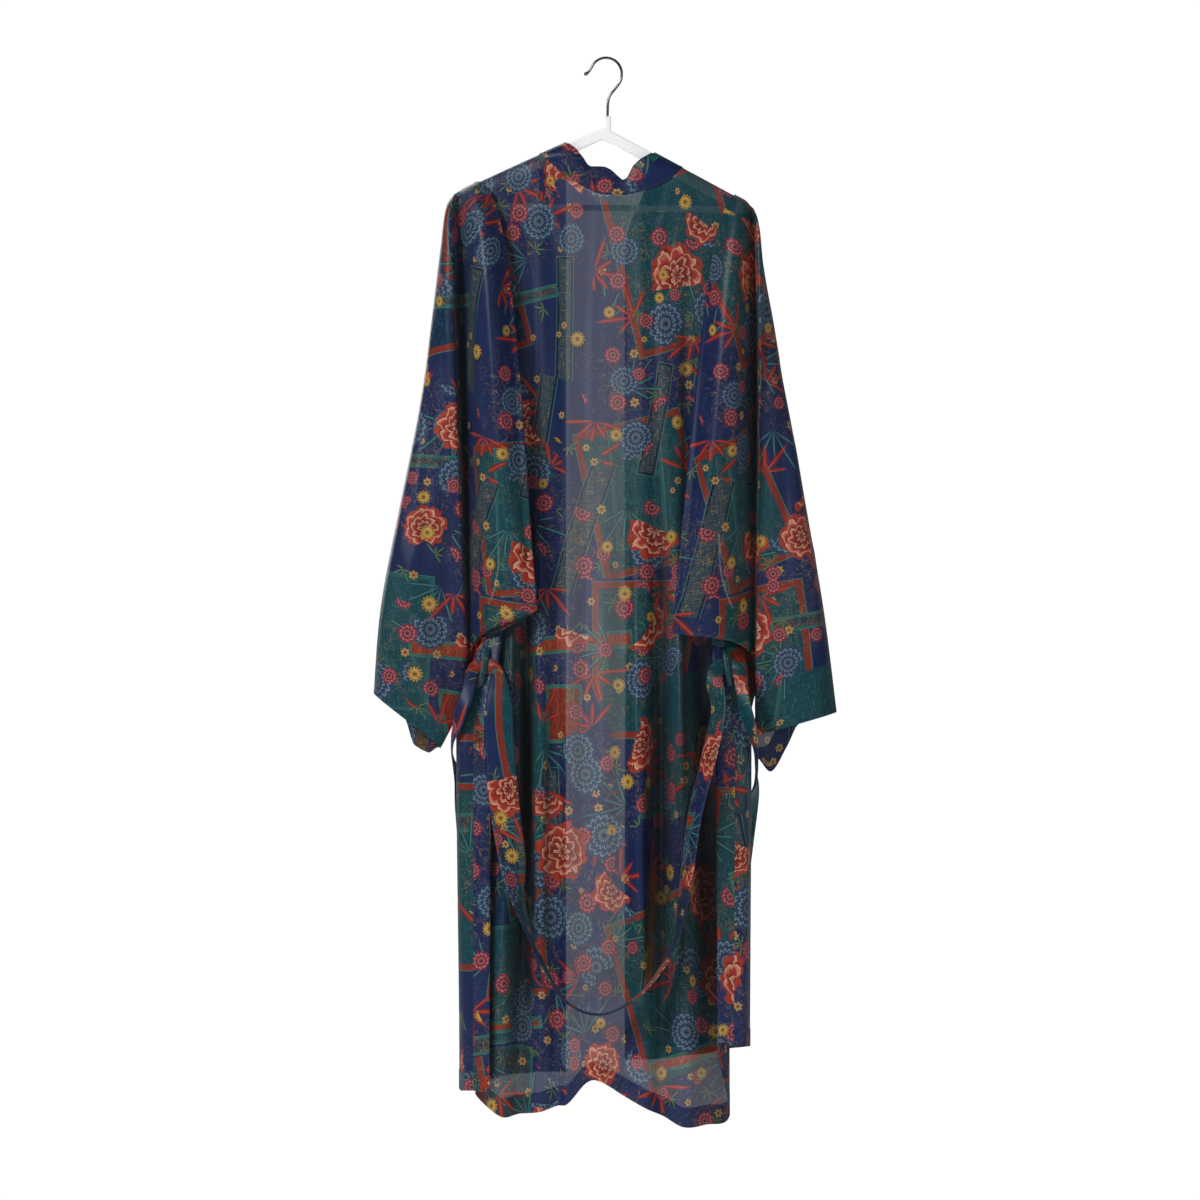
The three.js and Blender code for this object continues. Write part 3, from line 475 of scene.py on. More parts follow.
def neck_rows():
    u = np.arange((len(BACK_FOLDS) - 1) * 3 + 1) / 3
    x = back_point(u, np.full_like(u, -160.0))[:, 0]
    seams = back_point(u, top_z(x))
    seams = [p for p in seams if NECK_X[0] + 1 < p[0] < NECK_X[-1] - 1]
    rows = []
    for i, seam in enumerate(seams):
        share = (i + 1) / (len(seams) + 1)
        x = through(NECK_SHARE, NECK_FREE_X, share)
        z = through(NECK_SHARE, NECK_FREE_Z, share)
        free = np.array([x, -EDGE_OUT * roll(shoulder_z(x) - z), z], float)
        bulge = BAND_BULGE * ease(share / BULGE_END) * ease((1 - share) / BULGE_END)
        rows.append(band_row(seam + [0, 0, BAND_GAP], free, bulge))
    return rows


def band_rows():
    return np.array(
        front_band("left")[::-1]
        + [ridge_row("left"), over_ridge("left")]
        + neck_rows()
        + [over_ridge("right"), ridge_row("right")]
        + front_band("right")
    )


# ---- Surfaces ----
def normals_of(grid, ring=False):
    down = np.gradient(grid, axis=0)
    if ring:
        across = (np.roll(grid, -1, axis=1) - np.roll(grid, 1, axis=1)) / 2
    else:
        across = np.gradient(grid, axis=1)
    normal = np.cross(down, across)
    return normal / (np.linalg.norm(normal, axis=-1)[..., None] + 1e-9)


def creased(grid, normal, creases):
    """Moves a surface along its normals by soft ridges and troughs.
    Each crease is x, z of its start, x, z of its end, width, height and how far it bows aside."""
    x, z = grid[..., 0], grid[..., 2]
    lift = np.zeros_like(x)
    for x0, z0, x1, z1, width, height, bow in creases:
        dx, dz = x1 - x0, z1 - z0
        length = math.hypot(dx, dz)
        s = ((x - x0) * dx + (z - z0) * dz) / length**2
        aside = ((x - x0) * dz - (z - z0) * dx) / length - bow * np.sin(np.pi * np.clip(s, 0, 1))
        fade = np.sin(np.pi * np.clip(s, 0, 1)) ** 0.6
        lift += height * fade * np.exp(-((aside / width) ** 2))
    return grid + normal * lift[..., None]


def add_piece(name, points, faces, material, uv=None, shade=None, smooth=True):
    """Makes a mesh piece from points in millimetres, with its place on the cloth and its shade."""
    mesh = bpy.data.meshes.new(name)
    mesh.from_pydata((np.asarray(points) * MM).tolist(), [], faces)
    mesh.update()
    if uv is not None:
        layer = mesh.uv_layers.new(name="cloth")
        loops = np.empty(len(mesh.loops), int)
        mesh.loops.foreach_get("vertex_index", loops)
        layer.data.foreach_set("uv", (np.asarray(uv)[loops] * MM).ravel())
    if shade is not None:
        layer = mesh.attributes.new("shade", "FLOAT", "POINT")
        layer.data.foreach_set("value", np.asarray(shade, float).ravel())
    if smooth:
        mesh.polygons.foreach_set("use_smooth", [True] * len(mesh.polygons))
    piece = place_object(name, mesh)
    mesh.materials.append(material)
    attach(piece, "root")
    return piece


def grid_faces(rows, cols, ring=False):
    i, j = np.meshgrid(np.arange(rows - 1), np.arange(cols if ring else cols - 1), indexing="ij")
    i, j = i.ravel(), j.ravel()
    k = (j + 1) % cols
    return np.stack([i * cols + j, (i + 1) * cols + j, (i + 1) * cols + k, i * cols + k], -1).tolist()


def cloth_sheet(name, grid, material, uv, shade, ring=False):
    rows, cols = grid.shape[:2]
    return add_piece(
        name, grid.reshape(-1, 3), grid_faces(rows, cols, ring), material, uv.reshape(-1, 2), shade.ravel()
    )


def shell(name, grid, thick, material, uv, shade):
    """A closed shell round a grid, of one thickness, thinner at its rim."""
    rows, cols = grid.shape[:2]
    normal = normals_of(grid)
    half = np.full((rows, cols), thick / 2)
    half[:, 0] *= 0.5
    half[:, -1] *= 0.5
    outer = grid + normal * half[..., None]
    inner = grid - normal * half[..., None]
    count = rows * cols
    faces = grid_faces(rows, cols)
    faces += [[q + count for q in reversed(face)] for face in faces]
    for i in range(rows - 1):
        for j in (0, cols - 1):
            a, b = i * cols + j, (i + 1) * cols + j
            quad = [a, a + count, b + count, b]
            faces.append(quad if j == 0 else quad[::-1])
    for j in range(cols - 1):
        for i in (0, rows - 1):
            a, b = i * cols + j, i * cols + j + 1
            quad = [a, b, b + count, a + count]
            faces.append(quad if i == 0 else quad[::-1])
    points = np.concatenate([outer.reshape(-1, 3), inner.reshape(-1, 3)])
    both = np.concatenate([uv.reshape(-1, 2)] * 2)
    return add_piece(name, points, faces, material, both, np.concatenate([shade.ravel()] * 2))


def along(grid, axis):
    """Distance along a grid's lines from their first points."""
    steps = np.linalg.norm(np.diff(grid, axis=axis), axis=-1)
    start = np.zeros_like(np.take(steps, [0], axis=axis))
    return np.concatenate([start, np.cumsum(steps, axis=axis)], axis=axis)


# ---- Material fields ----
TURN = 6.283


class Field:
    """A number that varies over the cloth, as a socket of a node tree."""

    def __init__(self, tree, socket):
        self.tree = tree
        self.socket = socket

    def op(self, kind, *others):
        return math_node(self.tree, kind, self, *others)

    def clamped(self):
        return math_node(self.tree, "ADD", self, 0.0, clamp=True)

    def __add__(self, other):
        return self.op("ADD", other)

    def __sub__(self, other):
        return self.op("SUBTRACT", other)

    def __rsub__(self, other):
        return math_node(self.tree, "SUBTRACT", other, self)

    def __mul__(self, other):
        return self.op("MULTIPLY", other)

    def __truediv__(self, other):
        return self.op("DIVIDE", other)

    def times_add(self, by, plus):
        return self.op("MULTIPLY_ADD", by, plus)


def feed(tree, socket, value):
    if isinstance(value, Field):
        tree.links.new(value.socket, socket)
    else:
        socket.default_value = value


def math_node(tree, kind, *values, clamp=False):
    node = tree.nodes.new("ShaderNodeMath")
    node.operation = kind
    node.use_clamp = clamp
    for socket, value in zip(node.inputs, values):
        feed(tree, socket, value)
    return Field(tree, node.outputs[0])


def vector_node(tree, kind, *values):
    node = tree.nodes.new("ShaderNodeVectorMath")
    node.operation = kind
    for socket, value in zip(node.inputs, values):
        feed(tree, socket, value)
    return Field(tree, node.outputs[1 if kind == "LENGTH" else 0])


def parts_of(tree, vector):
    node = tree.nodes.new("ShaderNodeSeparateXYZ")
    feed(tree, node.inputs[0], vector)
    return [Field(tree, out) for out in node.outputs[:3]]


def noise(tree, place, scale, detail=2.0, roughness=0.5, distortion=0.0):
    node = tree.nodes.new("ShaderNodeTexNoise")
    node.noise_dimensions = "2D"
    feed(tree, node.inputs["Vector"], place)
    node.inputs["Scale"].default_value = scale
    node.inputs["Detail"].default_value = detail
    node.inputs["Roughness"].default_value = roughness
    node.inputs["Distortion"].default_value = distortion
    return Field(tree, node.outputs[0])


def blend(tree, factor, under, over):
    node = tree.nodes.new("ShaderNodeMix")
    node.data_type = "RGBA"
    feed(tree, node.inputs[0], factor)
    feed(tree, node.inputs[6], under)
    feed(tree, node.inputs[7], over)
    return Field(tree, node.outputs[2])


def dye(code):
    """A colour from its usual code, as Blender's linear values."""
    values = [int(code[i : i + 2], 16) / 255 for i in (0, 2, 4)]
    return tuple(v / 12.92 if v < 0.04045 else ((v + 0.055) / 1.055) ** 2.4 for v in values) + (1.0,)


def scatter(tree, place, spacing, seed, loose=0.8):
    """The nearest of many scattered centres: the way from it, and three random numbers of its own."""
    moved = vector_node(tree, "ADD", place, (seed * 1.73, seed * 0.91, 0))
    node = tree.nodes.new("ShaderNodeTexVoronoi")
    node.voronoi_dimensions = "2D"
    node.inputs["Scale"].default_value = 1 / spacing
    node.inputs["Randomness"].default_value = loose
    feed(tree, node.inputs["Vector"], moved)
    away = vector_node(tree, "SUBTRACT", moved, Field(tree, node.outputs["Position"]))
    split = tree.nodes.new("ShaderNodeSeparateColor")
    tree.links.new(node.outputs["Color"], split.inputs[0])
    return away, [Field(tree, out) for out in split.outputs[:3]]


# Flowers: spacing, radius, petals, rings, share of places that bloom, seed, ruffle, then the dyes of
# the heart, the petals and their rims.
FLOWERS = {
    "star": (0.04, 0.0062, 6, 1.3, 0.5, 3.1, 0.1, "7a2a16", "b5822e", "dcc688"),
    "aster": (0.078, 0.027, 16, 3.6, 0.75, 7.7, 0.07, "14264a", "2b4a6c", "8199a4"),
    "button": (0.05, 0.0125, 10, 2.6, 0.8, 11.3, 0.1, "4a0d1a", "96283a", "d98a8c"),
    "rose": (0.135, 0.036, 8, 3.6, 0.8, 15.9, 0.42, "6c1410", "b83a26", "eeb091"),
    "daisy": (0.075, 0.0098, 13, 1.5, 0.5, 21.2, 0.05, "7c3d0c", "cf9a22", "f0d67c"),
}


def dim(tree, colour, by):
    node = tree.nodes.new("ShaderNodeVectorMath")
    node.operation = "SCALE"
    feed(tree, node.inputs[0], colour)
    feed(tree, node.inputs["Scale"], by)
    return Field(tree, node.outputs[0])


def flower(tree, under, place, kind, bloom, wobble):
    spacing, radius, petals, rings, share, seed, ruffle, heart, petal, rim = FLOWERS[kind]
    away, (r1, r2, r3) = scatter(tree, place, spacing, seed)
    x, y = parts_of(tree, away)[:2]
    far = vector_node(tree, "LENGTH", away) / r1.times_add(0.45 * radius, 0.75 * radius)
    far = wobble.times_add(ruffle, far) - ruffle / 2
    turned = y.op("ARCTAN2", x) + r2 * TURN
    lobe = ((far * (rings * math.pi / 2)) + turned * (petals / 2)).op("SINE").op("ABSOLUTE")
    level = lobe.times_add(-0.5, far * rings) + 0.5
    tip = level.op("FRACT")
    inside = ((rings - level) * 6.0).clamped()
    present = r3.op("LESS_THAN", bloom * share)
    colour = blend(tree, (far * 1.3).clamped(), dye(heart), dye(petal))
    colour = blend(tree, (tip.times_add(2.4, -1.3)).clamped(), colour, dye(rim))
    colour = dim(tree, colour, (tip * 4.0).op("MINIMUM", 1.0).times_add(0.6, 0.4))
    return blend(tree, inside * present, under, colour)


# Leaves: spacing, length, leaves in a full turn, fan in radians, half width, share, seed, dyes.
LEAVES = {
    "blades": (0.1, 0.066, 13, 2.4, 0.0034, 0.85, 31.4, "0a3238", "4c8f90"),
    "spray": (0.105, 0.052, 9, 3.0, 0.0052, 0.85, 37.9, "7c1816", "c84630"),
    "sprigs": (0.055, 0.018, 8, 4.2, 0.0022, 0.7, 41.7, "21492f", "7d9560"),
}


def leaves(tree, under, place, kind, bloom):
    spacing, length, count, fan, half, share, seed, dark, light = LEAVES[kind]
    away, (r1, r2, r3) = scatter(tree, place, spacing, seed)
    x, y = parts_of(tree, away)[:2]
    reach = vector_node(tree, "LENGTH", away)
    angle = (y.op("ARCTAN2", x) + r2 * TURN).op("WRAP", math.pi, -math.pi)
    sector = 2 * math.pi / count
    step = (angle / sector + 0.5).op("FLOOR")
    own = (step.times_add(2.7, r1 * 6.0)).op("SINE").times_add(0.22, 0.78)
    far = reach / (own * length)
    aside = ((angle - step * sector).op("ABSOLUTE")) * reach
    width = (1 - far) * far * (4 * half)
    mask = ((width - aside) * (1.6 / half)).clamped()
    fanned = angle.op("ABSOLUTE").op("LESS_THAN", fan / 2)
    present = r3.op("LESS_THAN", bloom * share)
    vein = (1 - aside * (2.2 / half)).clamped()
    colour = blend(tree, vein, dye(dark), dye(light))
    return blend(tree, mask * fanned * present, under, colour)


# Patches: spacing, half width, half height, tilt, share, seed, two grounds, marks, border, its width.
PATCHES = {
    "wide": (0.3, 0.095, 0.125, -0.12, 0.72, 51.3, "0a4852", "0c2b50", "127478", "8a3022", 0.075),
    "tall": (0.21, 0.045, 0.1, 0.14, 0.5, 57.7, "0b4c56", "28414c", "457c7c", "1f5f62", 0.07),
    "strip": (0.16, 0.014, 0.085, 0.1, 0.55, 69.9, "2b4a58", "5c4024", "ad8a50", "101c40", 0.14),
    "tile": (0.17, 0.022, 0.03, -0.2, 0.42, 63.1, "8a2a1a", "5c1716", "bb5433", "2f7568", 0.12),
    "cross": (0.24, 0.075, 0.01, -0.08, 0.5, 73.3, "96301a", "27444f", "c46f34", "2b6a63", 0.2),
}


def patches(tree, under, place, kind, strokes, weft):
    spacing, wide, high, tilt, share, seed, first, second, marks, border, rim = PATCHES[kind]
    away, (r1, r2, r3) = scatter(tree, place, spacing, seed, 0.65)
    turn = tree.nodes.new("ShaderNodeVectorRotate")
    turn.rotation_type = "Z_AXIS"
    feed(tree, turn.inputs["Vector"], away)
    feed(tree, turn.inputs["Angle"], r2.times_add(0.5, tilt - 0.25))
    turned = Field(tree, turn.outputs[0])
    x, y = parts_of(tree, turned)[:2]
    size = r1.times_add(0.5, 0.75)
    beyond = (x.op("ABSOLUTE") - size * wide).op("MAXIMUM", y.op("ABSOLUTE") - size * high)
    within = beyond.op("LESS_THAN", 0.0) * r3.op("LESS_THAN", share)
    ground = blend(tree, (r3 * 5.0).op("FRACT").op("GREATER_THAN", 0.55), dye(first), dye(second))
    brushed = (strokes.times_add(3.0, weft * 2.4) - 2.9).clamped()
    ground = blend(tree, brushed, ground, dye(marks))
    ground = dim(tree, ground, weft.times_add(0.9, 0.5))
    edge = rim * min(wide, high)
    ground = blend(tree, beyond.op("GREATER_THAN", -edge - 0.0022), ground, dye(border))
    ground = blend(tree, beyond.op("GREATER_THAN", -0.0011), ground, dye("3c7a70"))
    return blend(tree, within, under, ground)


def print_group():
    """The printed pattern: bouquets over a patchwork of tilted panels on a dark ground."""
    tree = bpy.data.node_groups.new("robe_print", "ShaderNodeTree")
    tree.interface.new_socket("Place", in_out="INPUT", socket_type="NodeSocketVector")
    tree.interface.new_socket("Color", in_out="OUTPUT", socket_type="NodeSocketColor")
    place = Field(tree, tree.nodes.new("NodeGroupInput").outputs[0])
    cloud = noise(tree, place, 22.0, 3.0, 0.6)
    colour = blend(tree, cloud, dye("0d1f48"), dye("1a3268"))
    strokes = noise(tree, vector_node(tree, "MULTIPLY", place, (70, 620, 1)), 1.0, 3.0, 0.65)
    weft = noise(tree, vector_node(tree, "MULTIPLY", place, (700, 80, 1)), 1.0, 2.0, 0.6)
    wobble = noise(tree, place, 62.0, 2.0)
    for kind in PATCHES:
        colour = patches(tree, colour, place, kind, strokes, weft)
    bloom = (noise(tree, place, 6.5, 1.0).times_add(4.6, -1.5)).clamped()
    some = bloom.times_add(0.6, 0.4)
    scribble = (noise(tree, place, 95.0, 2.0, 0.6, 0.8) - 0.5).op("ABSOLUTE")
    line = (1 - scribble * 55.0).clamped() * bloom
    colour = blend(tree, line * 0.75, colour, dye("a88450"))
    colour = leaves(tree, colour, place, "sprigs", some)
    colour = flower(tree, colour, place, "star", some, wobble)
    colour = leaves(tree, colour, place, "blades", some)
    colour = leaves(tree, colour, place, "spray", some)
    for kind in ("aster", "button", "rose"):
        colour = flower(tree, colour, place, kind, bloom, wobble)
    colour = flower(tree, colour, place, "daisy", some, wobble)
    out = tree.nodes.new("NodeGroupOutput")
    tree.links.new(colour.socket, out.inputs[0])
    return tree


PRINT = print_group()


WEAVE_WAVES = 12566.0  # radians a metre, which is 2000 threads
INK_DARK = (0.01, 0.014, 0.03, 1)
# The near-black colour that painted shade in deep folds blends towards.
FOLD_SHADE_COLOUR = (0.002, 0.003, 0.006, 1)


def new_material(name):
    material = bpy.data.materials.new(name)
    material.use_nodes = True
    return material, material.node_tree, material.node_tree.nodes["Principled BSDF"]


def cloth_material(name, offset, alpha=0.945, roughness=0.4):
    """Printed satin: the pattern, darkened by painted shade in deep folds, with a fine weave in its surface.
    """
    material, tree, shader = new_material(name)
    spot = tree.nodes.new("ShaderNodeUVMap")
    spot.uv_map = "cloth"
    place = vector_node(tree, "ADD", Field(tree, spot.outputs[0]), (offset[0], offset[1], 0))
    group = tree.nodes.new("ShaderNodeGroup")
    group.node_tree = PRINT
    feed(tree, group.inputs[0], place)
    colour = Field(tree, group.outputs[0])
    shade = tree.nodes.new("ShaderNodeAttribute")
    shade.attribute_name = "shade"
    deep = Field(tree, shade.outputs["Fac"])
    slub = noise(tree, vector_node(tree, "MULTIPLY", place, (900, 60, 1)), 1.0, 2.0)
    colour = blend(tree, slub.times_add(0.3, -0.03), colour, INK_DARK)
    # Painted shade: the shade attribute darkens the colour in the bottoms of folds.
    colour = blend(tree, deep, colour, FOLD_SHADE_COLOUR)
    tree.links.new(colour.socket, shader.inputs["Base Color"])
    x, y = parts_of(tree, place)[:2]
    warp = (x * WEAVE_WAVES).op("SINE")
    weft = (y * WEAVE_WAVES).op("SINE")
    bump = tree.nodes.new("ShaderNodeBump")
    bump.inputs["Strength"].default_value = 0.12
    bump.inputs["Distance"].default_value = 0.00012
    feed(tree, bump.inputs["Height"], (warp * weft) + slub * 2.0)
    tree.links.new(bump.outputs[0], shader.inputs["Normal"])
    feed(tree, shader.inputs["Roughness"], slub.times_add(0.12, roughness - 0.06))
    shader.inputs["Specular IOR Level"].default_value = 0.3
    shader.inputs["Sheen Weight"].default_value = 0.05
    shader.inputs["Sheen Roughness"].default_value = 0.45
    shader.inputs["Alpha"].default_value = alpha
    return material


def plain_material(
    name, base, roughness, metallic=0.0, grain=40.0, spread=0.12, coat=0.0, glow=0.0
):
    """A smooth material with faint wear: its colour and gloss vary a little over the surface."""
    material, tree, shader = new_material(name)
    spot = tree.nodes.new("ShaderNodeTexCoord")
    cloud = noise(tree, Field(tree, spot.outputs["Object"]), grain, 4.0, 0.6)
    dark = tuple(v * (1 - spread) for v in dye(base)[:3]) + (1.0,)
    tree.links.new(blend(tree, cloud, dark, dye(base)).socket, shader.inputs["Base Color"])
    feed(tree, shader.inputs["Roughness"], cloud.times_add(0.1, roughness - 0.05))
    shader.inputs["Metallic"].default_value = metallic
    shader.inputs["Coat Weight"].default_value = coat
    shader.inputs["Emission Color"].default_value = (1, 1, 1, 1)
    shader.inputs["Emission Strength"].default_value = glow
    return material


MAIN_CLOTH = cloth_material("printed_satin", (0.31, 0.12))
SLEEVE_CLOTH = {
    side: cloth_material(f"printed_satin_{side}", (0.31, 0.12)) for side in SIDES
}
FRONT_CLOTH = cloth_material("printed_satin_front", (2.2, 0.4))
BAND_CLOTH = cloth_material("printed_satin_band", (4.1, 1.3), alpha=0.97)
BELT_CLOTH = cloth_material("printed_satin_belt", (6.4, 2.6), alpha=0.99, roughness=0.36)
THREAD = plain_material("thread", "2c4a6e", 0.6, grain=300, spread=0.3)
CHROME = plain_material("chrome_wire", "7d8084", 0.18, metallic=1.0, grain=90, spread=0.1)
# The hanger's white plastic glows faintly: painted light that keeps it bright white.
GLOWING_PLASTIC = plain_material(
    "glowing_white_plastic", "f2f4f5", 0.28, grain=60, spread=0.04, coat=0.3, glow=0.3
)


# ---- Creases: start x, z, end x, z, width, height, bow ----
BACK_CREASES = [
    (-62, -210, -58, -900, 9, 2.4, 3),
    (-33, -230, -30, -1180, 7, -2.2, -3),
    (-12, -185, -16, -620, 6, 1.8, 4),
    (24, -200, 26, -1240, 8, -2.6, 3),
    (43, -190, 50, -980, 6, 2.2, -4),
    (8, -420, 4, -1290, 7, 2.0, 5),
    (-98, -230, -80, -760, 8, -2.4, -5),
    (-120, -190, -104, -420, 9, 2.2, -6),
    (70, -200, 88, -660, 8, 2.4, 5),
    (112, -200, 98, -480, 9, -2.4, 5),
    (-60, -640, -48, -1300, 5, 1.6, -4),
    (-92, -820, -70, -1320, 6, 1.8, 6),
    (88, -760, 104, -1330, 6, 2.0, -5),
    (62, -900, 52, -1320, 5, -1.6, 4),
    (-20, -880, -28, -1290, 5, 1.6, 3),
    (-128, -790, -112, -980, 5, 2.0, -5),
    (132, -790, 108, -960, 5, 2.0, 5),
    (-40, -176, 30, -196, 5, 0.9, 4),
    (-75, -150, -30, -300, 7, 1.5, 6),
    (80, -160, 40, -320, 7, 1.5, -6),
    (-118, -1180, -90, -1330, 6, -1.6, 3),
    (118, -1160, 100, -1340, 6, 1.8, -3),
]
# Painted shade in the bottoms of the back's folds: x, top, bottom, width, darkness.
BACK_VALLEYS = [
    (-99, -520, -1240, 7, 0.88),
    (-118, -560, -900, 5, 0.7),
    (72, -560, -1220, 7, 0.85),
    (98, -300, -1200, 5, 0.75),
    (122, -520, -1120, 8, 0.88),
    (-75, -760, -1150, 4, 0.6),
    (52, -820, -1160, 4, 0.55),
]
FRONT_CREASES = {
    "left": [
        (-120, -200, -112, -640, 7, 2.2, -4),
        (-102, -300, -98, -900, 6, -1.8, 3),
        (-140, -820, -128, -1280, 6, 2.0, 4),
        (-158, -860, -150, -1290, 6, -2.0, -4),
        (-110, -760, -104, -1280, 5, 1.8, -3),
        (-96, -220, -94, -760, 4, 1.2, 2),
        (-176, -880, -170, -1200, 5, 1.5, 3),
        (-150, -250, -126, -520, 7, 1.8, 5),
    ],
    "right": [
        (124, -220, 108, -660, 7, 2.2, 4),
        (96, -260, 78, -880, 6, -1.8, -3),
        (132, -820, 126, -1240, 6, 2.0, -4),
        (152, -850, 146, -1240, 6, -2.0, 4),
        (92, -740, 90, -1260, 5, 1.8, 3),
        (74, -300, 70, -820, 4, 1.2, -2),
        (168, -860, 166, -1200, 5, 1.5, -3),
        (148, -260, 128, -540, 7, 1.8, -5),
    ],
}
SLEEVE_CREASES = {
    "left": [
        (-150, -215, -112, -640, 9, 3.0, 8),
        (-128, -222, -100, -520, 7, -2.2, -6),
        (-165, -230, -160, -600, 6, 2.0, -4),
        (-205, -240, -214, -700, 9, 2.6, 6),
        (-222, -360, -246, -780, 8, -2.2, -6),
        (-238, -470, -226, -850, 7, 2.0, 6),
        (-196, -420, -204, -820, 6, -1.8, 4),
        (-262, -600, -232, -790, 9, 2.4, -5),
        (-112, -560, -96, -690, 6, 2.0, 4),
        (-140, -500, -146, -700, 7, -2.2, -5),
        (-214, -590, -250, -660, 8, 1.8, 5),
        (-190, -210, -196, -330, 6, 1.8, 3),
    ],
    "right": [
        (137, -228, 136, -350, 4, 3.4, 2),
        (150, -215, 118, -640, 9, 2.8, -8),
        (126, -260, 98, -560, 7, -2.2, 6),
        (166, -230, 164, -620, 6, 2.0, 4),
        (204, -260, 210, -720, 9, 2.6, -6),
        (222, -380, 244, -790, 8, -2.2, 6),
        (238, -480, 222, -840, 7, 2.0, -6),
        (196, -430, 198, -820, 6, -1.8, -4),
        (262, -620, 228, -780, 9, 2.4, 5),
        (106, -590, 94, -712, 6, 2.0, -4),
        (140, -520, 150, -730, 7, -2.2, 5),
        (188, -215, 194, -330, 6, 1.8, -3),
    ],
}
# Gathers where the cuff facing is sewn on: place across along the seam, height, length.
CUFF_GATHERS = {
    "left": [(-284, 1.2, 26), (-268, 1.6, 34), (-257, 1.1, 22), (-240, 1.7, 36), (-226, 1.2, 24)],
    "right": [(280, 1.2, 26), (264, 1.7, 34), (252, 1.2, 24), (238, 1.6, 36), (222, 1.2, 26), (208, 1.0, 20)],
}


def cuff_creases(side):
    rows = SLEEVES[side]
    (x0, z0), (x1, z1) = rows[-1][0:2], rows[-1][2:4]
    creases = []
    for x, height, length in CUFF_GATHERS[side]:
        t = (x - x0) / (x1 - x0)
        seam = mix(z0, z1, t) + 64
        creases.append((x, seam + length, x * 0.995, seam - length * 0.6, 2.6, height, 0.6))
    return creases


FOLD_FADE = 160  # millimetres over which a fold's shade comes in


def painted_fold_shade(grid, crest_levels, crest, start):
    """Painted shade of a fold: how deep a point lies in it, from 0 on a crest to 1 at the bottom, made
    steeper.
    """
    top = through(crest_levels, crest, grid[..., 2])
    deep = np.clip((top + grid[..., 1]) / top, 0, 1)
    return np.clip(deep * 1.6 - 0.42, 0, 1) * ease((start - grid[..., 2]) / FOLD_FADE)


# ---- Body panels ----
def strip_places(grid):
    """Places on the printed cloth of a strip: distance across, and along its middle line."""
    down = along(grid, 0)[:, grid.shape[1] // 2]
    return np.stack([along(grid, 1), np.repeat(down[:, None], grid.shape[1], axis=1)], -1)


def print_places(grid, centre_column, start):
    """Places on the printed cloth: distance across from a column, and height."""
    across = along(grid, 1)
    across = across - across[:, centre_column : centre_column + 1] + start
    return np.stack([across, grid[..., 2]], -1)


BACK_ACROSS = 10
back = panel(back_point, len(BACK_FOLDS), BACK_ACROSS, 12, [fold[2] for fold in BACK_FOLDS])
back_uv = print_places(back, int(8.5 * BACK_ACROSS), -12)
# Painted shade on the back: darker in the bottoms of its folds and along the listed valleys.
back_shade = painted_fold_shade(back, OUT_LEVELS, [13, 22, 46, 50, 48], -420) * 0.97
for x, top, bottom, width, dark in BACK_VALLEYS:
    inside = ease((top - back[..., 2]) / 120) * ease((back[..., 2] - bottom) / 60)
    near = np.exp(-(((back[..., 0] - x) / width) ** 2))
    back_shade = np.maximum(back_shade, near * inside * dark)
back_normal = normals_of(back)
back_normal *= np.where(back_normal[..., 1:2] > 0, -1, 1)
back = creased(back, back_normal, BACK_CREASES)
back_cloth = cloth_sheet("back_cloth", back, MAIN_CLOTH, back_uv, back_shade)
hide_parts("back")

FRONT_ACROSS = 10
SEAM_APART = 3.0
SEAM_SHARE = 0.9  # how much of a seam's gap is closed


def sewn(edge, other, axis):
    """An edge drawn to the one that it is sewn to, where they are a seam's gap apart."""
    other = other[np.argsort(other[:, axis])]
    met = [np.interp(edge[:, axis], other[:, axis], other[:, k]) for k in range(3)]
    met = np.stack(met, -1)
    near = np.linalg.norm(met - edge, axis=1, keepdims=True) < SEAM_APART
    return np.where(near, mix(edge, met, SEAM_SHARE), edge)


fronts = {}
for side in SIDES:
    folds = FRONT_FOLDS[side]
    hems = [folds[0][2]] + [fold[2] for fold in folds]
    grid = panel(lambda u, z: front_point(side, u, z), len(folds) + 1, FRONT_ACROSS, 12, hems)
    uv = print_places(grid, grid.shape[1] - 1, grid[0, -1, 0])
    uv[..., 0] = grid[0:1, -1:, 0] + (uv[..., 0] - grid[0:1, -1:, 0]) * INWARD[side]
    normal = normals_of(grid)
    normal *= np.where(normal[..., 1:2] < 0, -1, 1)
    grid = creased(grid, normal, FRONT_CREASES[side])
    grid[:, 0] = sewn(grid[:, 0], back[:, 0 if side == "left" else -1], 2)
    grid[0] = sewn(grid[0], back[0], 0)
    fronts[side] = (grid, uv, normal)
    piece = cloth_sheet(f"front_{side}_cloth", grid, FRONT_CLOTH, uv, np.zeros(grid.shape[:2]))
    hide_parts(f"front_{side}")

# ---- Sleeves ----
SLEEVE_TILT = 0.17
SLEEVE_STEP = 4.0


